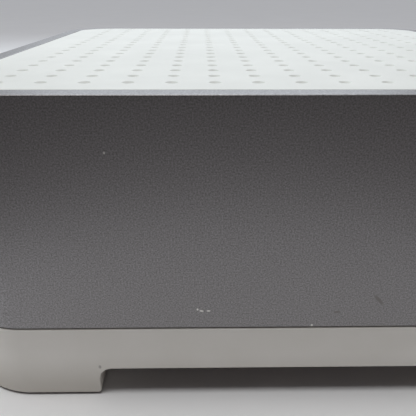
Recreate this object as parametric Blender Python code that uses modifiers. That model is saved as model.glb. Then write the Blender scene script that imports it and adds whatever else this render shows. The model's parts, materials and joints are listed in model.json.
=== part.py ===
"""Square mesh wifi node: a perforated lid set in a grey sleeve, on a white base with four corner feet.

Units are metres and +Z is up. The plain front faces -Y and the sockets face +Y.
The origin is in the middle of the footprint, on the surface that the node stands on.
"""
import math

import bmesh
import bpy
from mathutils import Vector
from mathutils.geometry import interpolate_bezier

MM = 0.001

# Overall size
BODY_WIDTH = 141 * MM
BODY_DEPTH = 141 * MM
BODY_HEIGHT = 63.8 * MM
CORNER_RADIUS = 16 * MM
SLEEVE_WALL = 2.2 * MM

# Clearances
SEAM_GAP = 0.3 * MM  # shadow line that shows between sleeve and base
LID_GAP = 0.2 * MM  # fine line that shows around the lid
FIT_GAP = 0.3 * MM  # around a piece that slips into another
SEAT_GAP = 0.2 * MM  # under a piece that rests on another
RUNNING_GAP = 0.2 * MM  # around a piece that slides in its guide

# Rim of the sleeve, and the lid that lies in it
RIM_WIDTH = 4.15 * MM  # flat top of the sleeve around the lid
RIM_EDGE = 0.25 * MM
LEDGE_WIDTH = 2 * MM  # step of the rim that carries the lid's edge
LEDGE_THICKNESS = 1.6 * MM
LID_THICKNESS = 2 * MM
SKIRT_WALL = 1.4 * MM
SKIRT_BELOW_HOOK = 0.5 * MM
VENT_COLUMN_PITCH = 7.87 * MM  # from side to side
VENT_ROW_PITCH = 7 * MM  # from front to rear
VENT_DIAMETER = 1.9 * MM
VENT_SIDE_MARGIN = 13 * MM  # least distance from the side edges to the outer columns
VENT_END_MARGIN = 9.5 * MM  # least distance from the front and rear edges to the outer rows
HOOK_LENGTH = 12 * MM
HOOK_HEIGHT = 1 * MM
HOOK_PROUD = 0.8 * MM  # beyond the skirt's face, under the ledge
HOOK_SPACING = 64 * MM

# Base and feet
BASE_HEIGHT = 16.75 * MM  # from the underside of the feet to the seam
BASE_FLOOR = 2.2 * MM
FOOT_LENGTH = 30.7 * MM
FOOT_FLOOR = 2.4 * MM
NOTCH_HEIGHT = 6.4 * MM
NOTCH_TOP_RADIUS = 2.5 * MM
NOTCH_FOOT_RADIUS = 0.8 * MM
LIP_WALL = 1.2 * MM
LIP_HEIGHT = 2.2 * MM
BASE_BOSS_DIAMETER = 10 * MM
SLEEVE_BOSS_DIAMETER = 8 * MM
SLEEVE_BOSS_HEIGHT = 17 * MM
BOSS_RIB = 1.8 * MM
INTAKE_WIDTH = 2.4 * MM
INTAKE_LENGTH = 26 * MM
INTAKE_PITCH = 5.2 * MM
INTAKE_COUNT = 11
INTAKE_ROW_SPACING = 34 * MM

# Rubber pads under the feet, and the case screws that they cover
PAD_DIAMETER = 14 * MM
PAD_PROUD = 0.5 * MM
PAD_RECESS = 1.2 * MM
PAD_EDGE = 0.3 * MM
CASE_SCREW_HEAD = 5.6 * MM
CASE_SCREW_HEAD_HEIGHT = 2.2 * MM
CASE_SCREW_SHANK = 2.8 * MM
CASE_SCREW_GRIP = 12 * MM  # thread in the sleeve's boss

# Main board and what fastens it
BOARD_THICKNESS = 1.6 * MM
BOARD_CLEARANCE = 1.5 * MM  # from the board's edges to the screw bosses
BOARD_EDGE_GAP = 0.6 * MM  # from the board's rear edge to the port panel
STANDOFF_HEIGHT = 15.2 * MM
STANDOFF_DIAMETER = 7 * MM
BOARD_HOLE_SIDE = 11 * MM
BOARD_HOLE_FRONT = 6 * MM
BOARD_HOLE_REAR = 24.5 * MM
BOARD_SCREW_HEAD = 5.2 * MM
BOARD_SCREW_HEAD_HEIGHT = 2 * MM
BOARD_SCREW_SHANK = 2.6 * MM
BOARD_SCREW_GRIP = 8 * MM  # thread in the standoff

# Shield cans, thermal pads and heat sink
CAN_HEIGHT = 2.4 * MM
CAN_WALL = 0.4 * MM
CHIP_INSET = 6 * MM
PROCESSOR_CAN = 34 * MM
RADIO_CAN_WIDTH = 20 * MM
RADIO_CAN_DEPTH = 30 * MM
CAN_SPACING = 2.5 * MM
THERMAL_PAD_THICKNESS = 1.2 * MM
THERMAL_PAD_INSET = 3 * MM
HEATSINK_BASE = 3 * MM
HEATSINK_FROM_SIDE = 8.35 * MM  # from the board's side edges, clear of the antenna plugs
HEATSINK_FROM_FRONT = 15 * MM  # from the board's front edge
HEATSINK_FROM_REAR = 39.45 * MM  # from the board's rear edge, clear of the socket row
FIN_HEIGHT = 14 * MM
FIN_THICKNESS = 1.8 * MM
FIN_COUNT = 15
FIN_END_MARGIN = 9 * MM
HEATSINK_POST_DIAMETER = 6 * MM
HEATSINK_POST_INSET = 4.5 * MM
HEATSINK_SCREW_TAIL = 1.5 * MM  # below the board

# Port panel
PANEL_RECESS = 1 * MM
PANEL_MARGIN = 3 * MM
PANEL_LIP = 2 * MM
PANEL_FLANGE = 1.3 * MM
PANEL_CORNER = 2.5 * MM
PORT_SPACING = 4.5 * MM

# Ethernet sockets
PORT_COUNT = 2
PORT_PITCH = 16 * MM
PORT_OPENING_WIDTH = 11.9 * MM
PORT_OPENING_HEIGHT = 6.9 * MM
PORT_LATCH_WIDTH = 6.4 * MM
PORT_LATCH_DEPTH = 2.4 * MM
PORT_DEPTH = 13 * MM
PORT_FLOOR = 1.6 * MM  # plastic below the latch slot
JACK_HEIGHT = 13 * MM
JACK_DEPTH = 16.5 * MM
JACK_SHIELD = 0.4 * MM
JACK_SETBACK = 0.3 * MM  # behind the panel's face
CONTACT_COUNT = 8
CONTACT_PITCH = 1.02 * MM
CONTACT_WIDTH = 0.5 * MM
CONTACT_DROP = 1.2 * MM
CONTACT_LENGTH = 6.5 * MM
CONTACT_BAR = 0.6 * MM
CONTACT_STEP = 0.25 * MM  # from the bar's edges to its blades

# Power socket
POWER_WIDTH = 9.4 * MM
POWER_HEIGHT = 11 * MM
POWER_DEPTH = 11.5 * MM
POWER_NOSE_DIAMETER = 8.6 * MM
POWER_BORE = 5.8 * MM
POWER_BORE_DEPTH = 10 * MM
POWER_PIN = 2 * MM
POWER_PIN_LENGTH = 8.5 * MM
POWER_PIN_EDGE = 0.5 * MM

# Buttons, switches and status light
BUTTON_TRAVEL = 0.6 * MM
BUTTON_EDGE = 0.2 * MM
BUTTON_FLANGE = 1 * MM
BUTTON_STEM = 2 * MM
SYNC_DIAMETER = 7 * MM
SYNC_FLANGE_DIAMETER = 9.2 * MM
SYNC_STEM_DIAMETER = 3.4 * MM
SYNC_PROUD = 0.6 * MM
RESET_DIAMETER = 1.8 * MM
RESET_FLANGE_DIAMETER = 4.2 * MM
RESET_STEM_DIAMETER = 1.8 * MM
RESET_SUNK = 1.2 * MM  # below the panel's face, so that only a pin reaches it
SWITCH_WIDTH = 6.2 * MM
SWITCH_DEPTH = 4.5 * MM
SWITCH_ABOVE_AXIS = 3.1 * MM
PLUNGER_DIAMETER = 2.6 * MM
PLUNGER_PROUD = 1.2 * MM
PLUNGER_INSIDE = 1.4 * MM
LIGHT_DIAMETER = 2.6 * MM
LIGHT_LENGTH = 6 * MM
LED_WIDTH = 3 * MM
LED_DEPTH = 2.2 * MM
LED_ABOVE_AXIS = 1.5 * MM

# Antennas on the sleeve's side walls, with their coaxial leads
ANTENNA_LENGTH = 38 * MM
ANTENNA_HEIGHT = 16 * MM
ANTENNA_THICKNESS = 0.8 * MM
ANTENNA_SPACING = 54 * MM
ANTENNA_BELOW_LID = 2 * MM  # below the lid's skirt
COAX_DIAMETER = 1.4 * MM
COAX_BEND = 15 * MM
COAX_STEPS = 14
PLUG_DIAMETER = 3 * MM
PLUG_HEIGHT = 2.2 * MM
PLUG_INSET = 6 * MM

# Loose parts on the board
TRANSFORMER_SIZE = (20 * MM, 11 * MM, 5.8 * MM)
INDUCTOR_SIZE = (9 * MM, 9 * MM, 4.5 * MM)
CAPACITOR_DIAMETER = 8 * MM
CAPACITOR_HEIGHT = 11.5 * MM
PART_SPACING = 2 * MM

# Modelling values
CUT_MARGIN = 2 * MM  # how far a cutter runs past the face that it opens
JOIN_DEPTH = 0.5 * MM  # how far joined shapes reach into one another
CORNER_SEGMENTS = 8
ARC_SEGMENTS = 6
ROUND_SIDES = 16
SMALL_SIDES = 12
VENT_SIDES = 6
MERGE_DISTANCE = 0.00001
SHARP_ANGLE = math.radians(35)

# Heights that follow from the sizes above
FOOT_BOTTOM = PAD_PROUD
NOTCH_TOP = FOOT_BOTTOM + NOTCH_HEIGHT
FLOOR_TOP = NOTCH_TOP + BASE_FLOOR
BASE_TOP = FOOT_BOTTOM + BASE_HEIGHT
SLEEVE_BOTTOM = BASE_TOP + SEAM_GAP
LID_UNDERSIDE = BODY_HEIGHT - LID_THICKNESS
LEDGE_TOP = LID_UNDERSIDE - SEAT_GAP
LEDGE_BOTTOM = LEDGE_TOP - LEDGE_THICKNESS
HOOK_TOP = LEDGE_BOTTOM - FIT_GAP
SKIRT_BOTTOM = HOOK_TOP - HOOK_HEIGHT - SKIRT_BELOW_HOOK
BOARD_BOTTOM = FLOOR_TOP + STANDOFF_HEIGHT + SEAT_GAP
BOARD_TOP = BOARD_BOTTOM + BOARD_THICKNESS
ON_BOARD = BOARD_TOP + SEAT_GAP
AXIS_HEIGHT = ON_BOARD + JACK_HEIGHT / 2  # middle of the port row
HEATSINK_BOTTOM = ON_BOARD + CAN_HEIGHT + SEAT_GAP + THERMAL_PAD_THICKNESS + SEAT_GAP
HEATSINK_FLOOR = HEATSINK_BOTTOM + HEATSINK_BASE

# Places that follow from the sizes above
BASE_WALL = SLEEVE_WALL + FIT_GAP + LIP_WALL
SKIRT_INSET = RIM_WIDTH + LEDGE_WIDTH + FIT_GAP  # from the body's outline to the skirt's face
SCREW_X = BODY_WIDTH / 2 - FOOT_LENGTH / 2
SCREW_Y = BODY_DEPTH / 2 - FOOT_LENGTH / 2
PANEL_FACE = BODY_DEPTH / 2 - PANEL_RECESS
PANEL_STEP = BODY_DEPTH / 2 - SLEEVE_WALL - FIT_GAP
PANEL_BACK = PANEL_STEP - PANEL_FLANGE
BOARD_HALF_WIDTH = SCREW_X - SLEEVE_BOSS_DIAMETER / 2 - BOARD_CLEARANCE
BOARD_REAR = PANEL_BACK - BOARD_EDGE_GAP
BOARD_FRONT = -(SCREW_Y - SLEEVE_BOSS_DIAMETER / 2 - BOARD_CLEARANCE)
BOARD_HOLE_X = BOARD_HALF_WIDTH - BOARD_HOLE_SIDE
BOARD_HOLE_YS = (BOARD_FRONT + BOARD_HOLE_FRONT, BOARD_REAR - BOARD_HOLE_REAR)
HEATSINK_WIDTH = 2 * (BOARD_HALF_WIDTH - HEATSINK_FROM_SIDE)
HEATSINK_DEPTH = BOARD_REAR - HEATSINK_FROM_REAR - BOARD_FRONT - HEATSINK_FROM_FRONT
HEATSINK_Y = BOARD_FRONT + HEATSINK_FROM_FRONT + HEATSINK_DEPTH / 2
HEATSINK_HOLE_X = HEATSINK_WIDTH / 2 - HEATSINK_POST_INSET
HEATSINK_HOLE_YS = (
    HEATSINK_Y - HEATSINK_DEPTH / 2 + HEATSINK_POST_INSET,
    HEATSINK_Y + HEATSINK_DEPTH / 2 - HEATSINK_POST_INSET,
)
JACK_WIDTH = PORT_COUNT * PORT_PITCH
JACK_OUTER = JACK_WIDTH + 2 * (JACK_SHIELD + SEAT_GAP)
JACK_FACE = PANEL_FACE - JACK_SETBACK
FLANGE_BACK = PANEL_BACK - FIT_GAP - BUTTON_FLANGE
STEM_END = FLANGE_BACK - BUTTON_STEM
SWITCH_FACE = STEM_END - SEAT_GAP - PLUNGER_PROUD

# The port row, from the power socket at +X to the reset pinhole at -X
PORT_ROW = {
    "power": POWER_WIDTH,
    "ethernet": JACK_OUTER,
    "sync": SYNC_FLANGE_DIAMETER,
    "light": LIGHT_DIAMETER,
    "reset": RESET_FLANGE_DIAMETER,
}
ROW_LENGTH = sum(PORT_ROW.values()) + PORT_SPACING * (len(PORT_ROW) - 1)

# Finishes: colour, roughness and metallic value
FINISHES = {
    "white_plastic": ((0.80, 0.82, 0.82), 0.5, 0.0),
    "grey_metallic_paint": ((0.20, 0.20, 0.205), 0.45, 0.6),
    "dark_plastic": ((0.03, 0.03, 0.032), 0.55, 0.0),
    "rubber": ((0.05, 0.05, 0.05), 0.9, 0.0),
    "circuit_board": ((0.02, 0.12, 0.06), 0.5, 0.0),
    "aluminium": ((0.62, 0.63, 0.65), 0.4, 1.0),
    "tinned_steel": ((0.60, 0.61, 0.62), 0.3, 1.0),
    "gold_plate": ((0.83, 0.61, 0.25), 0.3, 1.0),
    "thermal_pad": ((0.30, 0.42, 0.55), 0.8, 0.0),
    "clear_plastic": ((0.85, 0.88, 0.90), 0.15, 0.0),
    "black_cable": ((0.02, 0.02, 0.02), 0.6, 0.0),
}

OUTWARDS = (-math.pi / 2, 0, 0)  # turns a piece's own +Z to the rear, +Y
DOWNWARDS = (math.pi, 0, 0)

for leftover in list(bpy.data.objects):
    bpy.data.objects.remove(leftover, do_unlink=True)

parts = bpy.data.collections.new("mesh_wifi_node")
cutters = bpy.data.collections.new("cutters")
for group in (parts, cutters):
    bpy.context.scene.collection.children.link(group)


# Helpers: finishes, meshes, and how they are placed and joined

def finish_material(name):
    """Return the material for a finish, made on its first use."""
    material = bpy.data.materials.get(name)
    if material is None:
        colour, roughness, metallic = FINISHES[name]
        material = bpy.data.materials.new(name)
        material.use_nodes = True
        shader = material.node_tree.nodes["Principled BSDF"]
        shader.inputs["Base Color"].default_value = (*colour, 1.0)
        shader.inputs["Roughness"].default_value = roughness
        shader.inputs["Metallic"].default_value = metallic
    return material


def place(name, data, at=(0, 0, 0), turn=(0, 0, 0), finish=None):
    """Add an object: a part in its finish, or a hidden cutter where no finish is given."""
    piece = bpy.data.objects.new(name, data)
    piece.location = at
    piece.rotation_euler = turn
    if finish is None:
        cutters.objects.link(piece)
        piece.hide_render = True
        piece.display_type = "WIRE"
    else:
        parts.objects.link(piece)
        data.materials.append(finish_material(finish))
    return piece


def mesh_from(shape, name):
    """Turn a bmesh into a mesh that is shaded smooth between its sharp edges."""
    mesh = bpy.data.meshes.new(name)
    shape.to_mesh(mesh)
    shape.free()
    mesh.shade_smooth()
    mesh.set_sharp_from_angle(angle=SHARP_ANGLE)
    return mesh


def is_upright(edge):
    """Tell whether an edge runs along Z."""
    step = edge.verts[0].co - edge.verts[1].co
    return step.xy.length < MERGE_DISTANCE


def block(name, size, corner_radius=0.0, top_chamfer=0.0):
    """A box around the origin, with its upright edges rounded and its top edges chamfered."""
    shape = bmesh.new()
    bmesh.ops.create_cube(shape, size=1.0)
    bmesh.ops.scale(shape, vec=size, verts=shape.verts)
    if corner_radius:
        upright = [edge for edge in shape.edges if is_upright(edge)]
        bmesh.ops.bevel(shape, geom=upright, offset=corner_radius, offset_type="OFFSET",
                        segments=CORNER_SEGMENTS, profile=0.5, affect="EDGES")
    if top_chamfer:
        top = [edge for edge in shape.edges if min(vert.co.z for vert in edge.verts) > 0]
        bmesh.ops.bevel(shape, geom=top, offset=top_chamfer, offset_type="OFFSET",
                        segments=1, profile=0.5, affect="EDGES")
    return mesh_from(shape, name)


def box(name, low, high, finish=None, corner_radius=0.0, top_chamfer=0.0):
    """A block between two corners, placed by its centre."""
    low = Vector(low)
    high = Vector(high)
    mesh = block(name, high - low, corner_radius, top_chamfer)
    return place(name, mesh, (low + high) / 2, finish=finish)


def rounded_plan(name, inset, bottom, top, finish=None, top_chamfer=0.0):
    """A block of the body's rounded square plan, drawn in by an inset."""
    half = Vector((BODY_WIDTH / 2 - inset, BODY_DEPTH / 2 - inset))
    low = (-half.x, -half.y, bottom)
    high = (half.x, half.y, top)
    return box(name, low, high, finish, CORNER_RADIUS - inset, top_chamfer)


def rod(name, diameter, low, high, at, finish=None, sides=ROUND_SIDES):
    """An upright cylinder between two heights."""
    shape = bmesh.new()
    bmesh.ops.create_cone(shape, cap_ends=True, segments=sides, radius1=diameter / 2,
                          radius2=diameter / 2, depth=high - low)
    return place(name, mesh_from(shape, name), (at[0], at[1], (low + high) / 2), finish=finish)


def turned(name, profile, at, turn=(0, 0, 0), finish=None, sides=ROUND_SIDES):
    """A turned piece, from (radius, height) points that run from its top down its outer side."""
    mesh = bpy.data.meshes.new(name)
    points = [(radius, 0, height) for radius, height in profile]
    steps = [(index, index + 1) for index in range(len(points) - 1)]
    mesh.from_pydata(points, steps, [])
    piece = place(name, mesh, at, turn, finish)
    lathe = piece.modifiers.new("Lathe", "SCREW")
    lathe.axis = "Z"
    lathe.steps = sides
    lathe.render_steps = sides
    lathe.use_merge_vertices = True
    lathe.merge_threshold = MERGE_DISTANCE
    return piece


def boolean(piece, other, operation):
    """Cut one piece from another, or join it on."""
    change = piece.modifiers.new(other.name, "BOOLEAN")
    change.operation = operation
    change.object = other


def cut(piece, *others):
    for other in others:
        boolean(piece, other, "DIFFERENCE")


def join(piece, *others):
    for other in others:
        boolean(piece, other, "UNION")


def repeat_at_corners(piece, sideways=True, lengthways=True):
    """Mirror a helper across the body's middle planes, so that it stands at each corner."""
    home = bpy.data.objects.new(piece.name + "_middle", None)
    home.hide_render = True
    cutters.objects.link(home)
    mirror = piece.modifiers.new("Corners", "MIRROR")
    mirror.use_axis = (sideways, lengthways, False)
    mirror.mirror_object = home
    mirror.use_mirror_merge = False
    return piece


def repeat_along(piece, count, step):
    """Repeat a helper in a row."""
    row = piece.modifiers.new("Row", "ARRAY")
    row.count = count
    row.use_relative_offset = False
    row.use_constant_offset = True
    row.constant_offset_displace = step


def arc(centre, radius, start, end):
    """Points along an arc in a plane, with its angles in degrees."""
    points = []
    for index in range(ARC_SEGMENTS + 1):
        angle = math.radians(start + (end - start) * index / ARC_SEGMENTS)
        points.append((centre[0] + radius * math.cos(angle), centre[1] + radius * math.sin(angle)))
    return points


def extruded(name, outline, thickness, at, turn):
    """A cutter from a flat outline, extruded to both sides of its plane."""
    curve = bpy.data.curves.new(name, "CURVE")
    curve.dimensions = "2D"
    curve.fill_mode = "BOTH"
    curve.extrude = thickness / 2
    spline = curve.splines.new("POLY")
    spline.points.add(len(outline) - 1)
    for point, place_2d in zip(spline.points, outline):
        point.co = (*place_2d, 0, 1)
    spline.use_cyclic_u = True
    drawn = place(name + "_outline", curve, at, turn)
    graph = bpy.context.evaluated_depsgraph_get()
    mesh = bpy.data.meshes.new_from_object(drawn.evaluated_get(graph))
    shape = bmesh.new()
    shape.from_mesh(mesh)
    bmesh.ops.remove_doubles(shape, verts=shape.verts, dist=MERGE_DISTANCE)
    shape.to_mesh(mesh)
    shape.free()
    bpy.data.objects.remove(drawn)
    return place(name, mesh, at, turn)


# Outer shell: lid, sleeve, base, feet

def lid_hooks():
    """Bars on the lid's skirt that catch under the ledge: two on each of the four sides."""
    face_x = BODY_WIDTH / 2 - SKIRT_INSET
    face_y = BODY_DEPTH / 2 - SKIRT_INSET
    start = HOOK_SPACING / 2 - HOOK_LENGTH / 2
    end = HOOK_SPACING / 2 + HOOK_LENGTH / 2
    low = HOOK_TOP - HOOK_HEIGHT
    along = box("lid_hook_ends", (start, face_y - JOIN_DEPTH, low), (end, face_y + HOOK_PROUD, HOOK_TOP))
    across = box("lid_hook_sides", (face_x - JOIN_DEPTH, start, low), (face_x + HOOK_PROUD, end, HOOK_TOP))
    return [repeat_at_corners(along), repeat_at_corners(across)]


def make_lid():
    """White lid, flush with the sleeve's rim, with a skirt, snap hooks and a grid of vents."""
    lid = rounded_plan("top_lid", RIM_WIDTH + LID_GAP, LID_UNDERSIDE, BODY_HEIGHT, "white_plastic")
    join(lid, rounded_plan("lid_skirt", SKIRT_INSET, SKIRT_BOTTOM, LID_UNDERSIDE + JOIN_DEPTH))
    cut(lid, rounded_plan("lid_hollow", SKIRT_INSET + SKIRT_WALL, SKIRT_BOTTOM - CUT_MARGIN, LID_UNDERSIDE))
    join(lid, *lid_hooks())
    cut(lid, vent_grid())
    return lid


def vent_grid():
    """Cutter for the vents: one prism, repeated over the lid."""
    columns = int((BODY_WIDTH - 2 * VENT_SIDE_MARGIN) / VENT_COLUMN_PITCH) + 1
    rows = int((BODY_DEPTH - 2 * VENT_END_MARGIN) / VENT_ROW_PITCH) + 1
    corner = (-(columns - 1) * VENT_COLUMN_PITCH / 2, -(rows - 1) * VENT_ROW_PITCH / 2)
    vents = rod("lid_vents", VENT_DIAMETER, LID_UNDERSIDE - CUT_MARGIN, BODY_HEIGHT + CUT_MARGIN, corner,
                sides=VENT_SIDES)
    repeat_along(vents, columns, (VENT_COLUMN_PITCH, 0, 0))
    repeat_along(vents, rows, (0, VENT_ROW_PITCH, 0))
    return vents


def make_sleeve():
    """Grey sleeve, with a flat rim and a ledge for the lid, screw bosses and a port window."""
    sleeve = rounded_plan("side_sleeve", 0, SLEEVE_BOTTOM, BODY_HEIGHT, "grey_metallic_paint", RIM_EDGE)
    cut(sleeve,
        rounded_plan("sleeve_bore", SLEEVE_WALL, SLEEVE_BOTTOM - CUT_MARGIN, LEDGE_BOTTOM),
        rounded_plan("ledge_opening", RIM_WIDTH + LEDGE_WIDTH, LEDGE_BOTTOM - CUT_MARGIN,
                     LEDGE_TOP + CUT_MARGIN),
        rounded_plan("lid_opening", RIM_WIDTH, LEDGE_TOP, BODY_HEIGHT + CUT_MARGIN))
    boss_top = SLEEVE_BOTTOM + SLEEVE_BOSS_HEIGHT
    wall_x = BODY_WIDTH / 2 - SLEEVE_WALL + JOIN_DEPTH
    wall_y = BODY_DEPTH / 2 - SLEEVE_WALL + JOIN_DEPTH
    rib_x = box("boss_rib_x", (SCREW_X, SCREW_Y - BOSS_RIB / 2, SLEEVE_BOTTOM + LIP_HEIGHT + FIT_GAP),
                (wall_x, SCREW_Y + BOSS_RIB / 2, boss_top - JOIN_DEPTH))
    rib_y = box("boss_rib_y", (SCREW_X - BOSS_RIB / 2, SCREW_Y, SLEEVE_BOTTOM + LIP_HEIGHT + FIT_GAP),
                (SCREW_X + BOSS_RIB / 2, wall_y, boss_top - JOIN_DEPTH))
    boss = rod("sleeve_boss", SLEEVE_BOSS_DIAMETER, SLEEVE_BOTTOM, boss_top, (SCREW_X, SCREW_Y))
    pilot = rod("sleeve_pilot", CASE_SCREW_SHANK + 2 * RUNNING_GAP, SLEEVE_BOTTOM - CUT_MARGIN,
                SLEEVE_BOTTOM + CASE_SCREW_GRIP + CUT_MARGIN, (SCREW_X, SCREW_Y), sides=SMALL_SIDES)
    for helper in (rib_x, rib_y, boss, pilot):
        repeat_at_corners(helper)
    join(sleeve, rib_x, rib_y, boss)
    cut(sleeve, pilot)
    window = panel_block("port_window", 0, PANEL_STEP - CUT_MARGIN, BODY_DEPTH / 2 + CUT_MARGIN)
    cut(sleeve, window)
    return sleeve


def notch_outline(half_width):
    """Arch between two feet: rounded off into the feet below, with fillets at its top corners."""
    bottom = FOOT_BOTTOM - CUT_MARGIN
    toe = NOTCH_FOOT_RADIUS
    left = [(-half_width - toe, bottom)]
    left += arc((-half_width - toe, FOOT_BOTTOM + toe), toe, -90, 0)
    left += arc((-half_width + NOTCH_TOP_RADIUS, NOTCH_TOP - NOTCH_TOP_RADIUS), NOTCH_TOP_RADIUS, 180, 90)
    right = [(-x, height) for x, height in reversed(left)]
    return left + right


def foot_pocket():
    """Cutter that hollows one foot from inside, with the body's round corner on its outer side."""
    low = Vector((BODY_WIDTH / 2 - FOOT_LENGTH + SLEEVE_WALL, BODY_DEPTH / 2 - FOOT_LENGTH + SLEEVE_WALL,
                  FOOT_BOTTOM + FOOT_FLOOR))
    high = Vector((BODY_WIDTH / 2 - BASE_WALL, BODY_DEPTH / 2 - BASE_WALL, FLOOR_TOP + CUT_MARGIN))
    shape = bmesh.new()
    bmesh.ops.create_cube(shape, size=1.0)
    bmesh.ops.scale(shape, vec=high - low, verts=shape.verts)
    outer = [edge for edge in shape.edges
             if is_upright(edge) and min(edge.verts[0].co.xy) > 0]
    bmesh.ops.bevel(shape, geom=outer, offset=CORNER_RADIUS - BASE_WALL, offset_type="OFFSET",
                    segments=CORNER_SEGMENTS, profile=0.5, affect="EDGES")
    return repeat_at_corners(place("foot_pocket", mesh_from(shape, "foot_pocket"), (low + high) / 2))


def make_base():
    """White base: rounded tray on four hollow feet, with bosses, standoffs, a lip and air slots."""
    base = rounded_plan("base_tray", 0, FOOT_BOTTOM, BASE_TOP, "white_plastic")
    join(base, rounded_plan("base_lip", SLEEVE_WALL + FIT_GAP, BASE_TOP - JOIN_DEPTH, BASE_TOP + LIP_HEIGHT))
    along = extruded("notch_front_rear", notch_outline(BODY_WIDTH / 2 - FOOT_LENGTH),
                     BODY_DEPTH + 2 * CUT_MARGIN, (0, 0, 0), (math.pi / 2, 0, 0))
    across = extruded("notch_sides", notch_outline(BODY_DEPTH / 2 - FOOT_LENGTH),
                      BODY_WIDTH + 2 * CUT_MARGIN, (0, 0, 0), (math.pi / 2, 0, math.pi / 2))
    hollow = rounded_plan("base_hollow", BASE_WALL, FLOOR_TOP, BASE_TOP + LIP_HEIGHT + CUT_MARGIN)
    cut(base, along, across, hollow, foot_pocket())
    boss = rod("base_boss", BASE_BOSS_DIAMETER, FOOT_BOTTOM + FOOT_FLOOR - JOIN_DEPTH, BASE_TOP,
               (SCREW_X, SCREW_Y))
    join(base, repeat_at_corners(boss))
    for hole_y in BOARD_HOLE_YS:
        post = rod("board_standoff", STANDOFF_DIAMETER, FLOOR_TOP - JOIN_DEPTH, FLOOR_TOP + STANDOFF_HEIGHT,
                   (BOARD_HOLE_X, hole_y), sides=SMALL_SIDES)
        join(base, repeat_at_corners(post, lengthways=False))
    cut(base, lip_gap(), foot_bore(), intake_slots())
    top = FLOOR_TOP + STANDOFF_HEIGHT
    for hole_y in BOARD_HOLE_YS:
        pilot = rod("standoff_pilot", BOARD_SCREW_SHANK + 2 * RUNNING_GAP,
                    top - BOARD_SCREW_GRIP - CUT_MARGIN, top + CUT_MARGIN, (BOARD_HOLE_X, hole_y),
                    sides=SMALL_SIDES)
        cut(base, repeat_at_corners(pilot, lengthways=False))
    return base


def lip_gap():
    """Cutter that opens the base's lip behind the port panel."""
    half = ROW_LENGTH / 2 + PANEL_MARGIN + PANEL_LIP + FIT_GAP
    return box("lip_gap", (-half, BODY_DEPTH / 2 - BASE_WALL - CUT_MARGIN, BASE_TOP + SEAT_GAP),
               (half, BODY_DEPTH / 2, BASE_TOP + LIP_HEIGHT + CUT_MARGIN))


def foot_bore():
    """Stepped cutter in each foot: pad recess, screw head pocket and screw hole."""
    pad_radius = PAD_DIAMETER / 2 + RUNNING_GAP
    head_radius = CASE_SCREW_HEAD / 2 + FIT_GAP
    hole_radius = CASE_SCREW_SHANK / 2 + FIT_GAP
    pad_top = FOOT_BOTTOM + PAD_RECESS
    head_top = pad_top + SEAT_GAP + CASE_SCREW_HEAD_HEIGHT + SEAT_GAP
    profile = [(0, BASE_TOP + CUT_MARGIN), (hole_radius, BASE_TOP + CUT_MARGIN), (hole_radius, head_top),
               (head_radius, head_top), (head_radius, pad_top), (pad_radius, pad_top),
               (pad_radius, FOOT_BOTTOM - CUT_MARGIN), (0, FOOT_BOTTOM - CUT_MARGIN)]
    return repeat_at_corners(turned("foot_bore", profile, (SCREW_X, SCREW_Y, 0)))


def intake_slots():
    """Cutter for the air slots in the base's floor, in two rows."""
    first = -(INTAKE_COUNT - 1) * INTAKE_PITCH / 2
    middle = INTAKE_ROW_SPACING / 2
    slots = box("intake_slots",
                (first - INTAKE_WIDTH / 2, middle - INTAKE_LENGTH / 2, NOTCH_TOP - CUT_MARGIN),
                (first + INTAKE_WIDTH / 2, middle + INTAKE_LENGTH / 2, FLOOR_TOP + CUT_MARGIN))
    repeat_along(slots, INTAKE_COUNT, (INTAKE_PITCH, 0, 0))
    return repeat_at_corners(slots, sideways=False)


def make_feet():
    """Rubber pads in the feet, and the case screws that they cover."""
    pad_top = PAD_PROUD + PAD_RECESS - SEAT_GAP
    radius = PAD_DIAMETER / 2
    pad = [(0, pad_top), (radius, pad_top), (radius, PAD_EDGE), (radius - PAD_EDGE, 0), (0, 0)]
    head_bottom = FOOT_BOTTOM + PAD_RECESS + SEAT_GAP
    head_radius = CASE_SCREW_HEAD / 2
    shank_radius = CASE_SCREW_SHANK / 2
    length = SLEEVE_BOTTOM + CASE_SCREW_GRIP - head_bottom
    screw = [(0, 0), (head_radius, 0), (head_radius, -CASE_SCREW_HEAD_HEIGHT),
             (shank_radius, -CASE_SCREW_HEAD_HEIGHT), (shank_radius, -length), (0, -length)]
    for end, y in (("front", -SCREW_Y), ("rear", SCREW_Y)):
        for side, x in (("left", -SCREW_X), ("right", SCREW_X)):
            turned("foot_pad_%s_%s" % (end, side), pad, (x, y, 0), finish="rubber")
            turned("case_screw_%s_%s" % (end, side), screw, (x, y, head_bottom), DOWNWARDS,
                   "tinned_steel", SMALL_SIDES)


# Port panel, with the sockets, buttons and light behind it

def port_places():
    """Middle of each item in the port row, along X."""
    places = {}
    edge = ROW_LENGTH / 2
    for item, width in PORT_ROW.items():
        places[item] = edge - width / 2
        edge -= width + PORT_SPACING
    return places


def panel_block(name, grow, back, face, finish=None):
    """A block of the port panel's outline, grown on each side, between two depths."""
    width = ROW_LENGTH + 2 * (PANEL_MARGIN + grow)
    height = JACK_HEIGHT + 2 * (PANEL_MARGIN + grow)
    mesh = block(name, (width, height, face - back), PANEL_CORNER + max(grow, 0))
    return place(name, mesh, (0, (back + face) / 2, AXIS_HEIGHT), OUTWARDS, finish)


def panel_hole(name, diameter, x):
    """Cutter for a round hole through the port panel."""
    depth = PANEL_FACE - PANEL_BACK + 2 * CUT_MARGIN
    half = depth / 2
    profile = [(0, half), (diameter / 2, half), (diameter / 2, -half), (0, -half)]
    return turned(name, profile, (x, (PANEL_FACE + PANEL_BACK) / 2, AXIS_HEIGHT), OUTWARDS)


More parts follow.
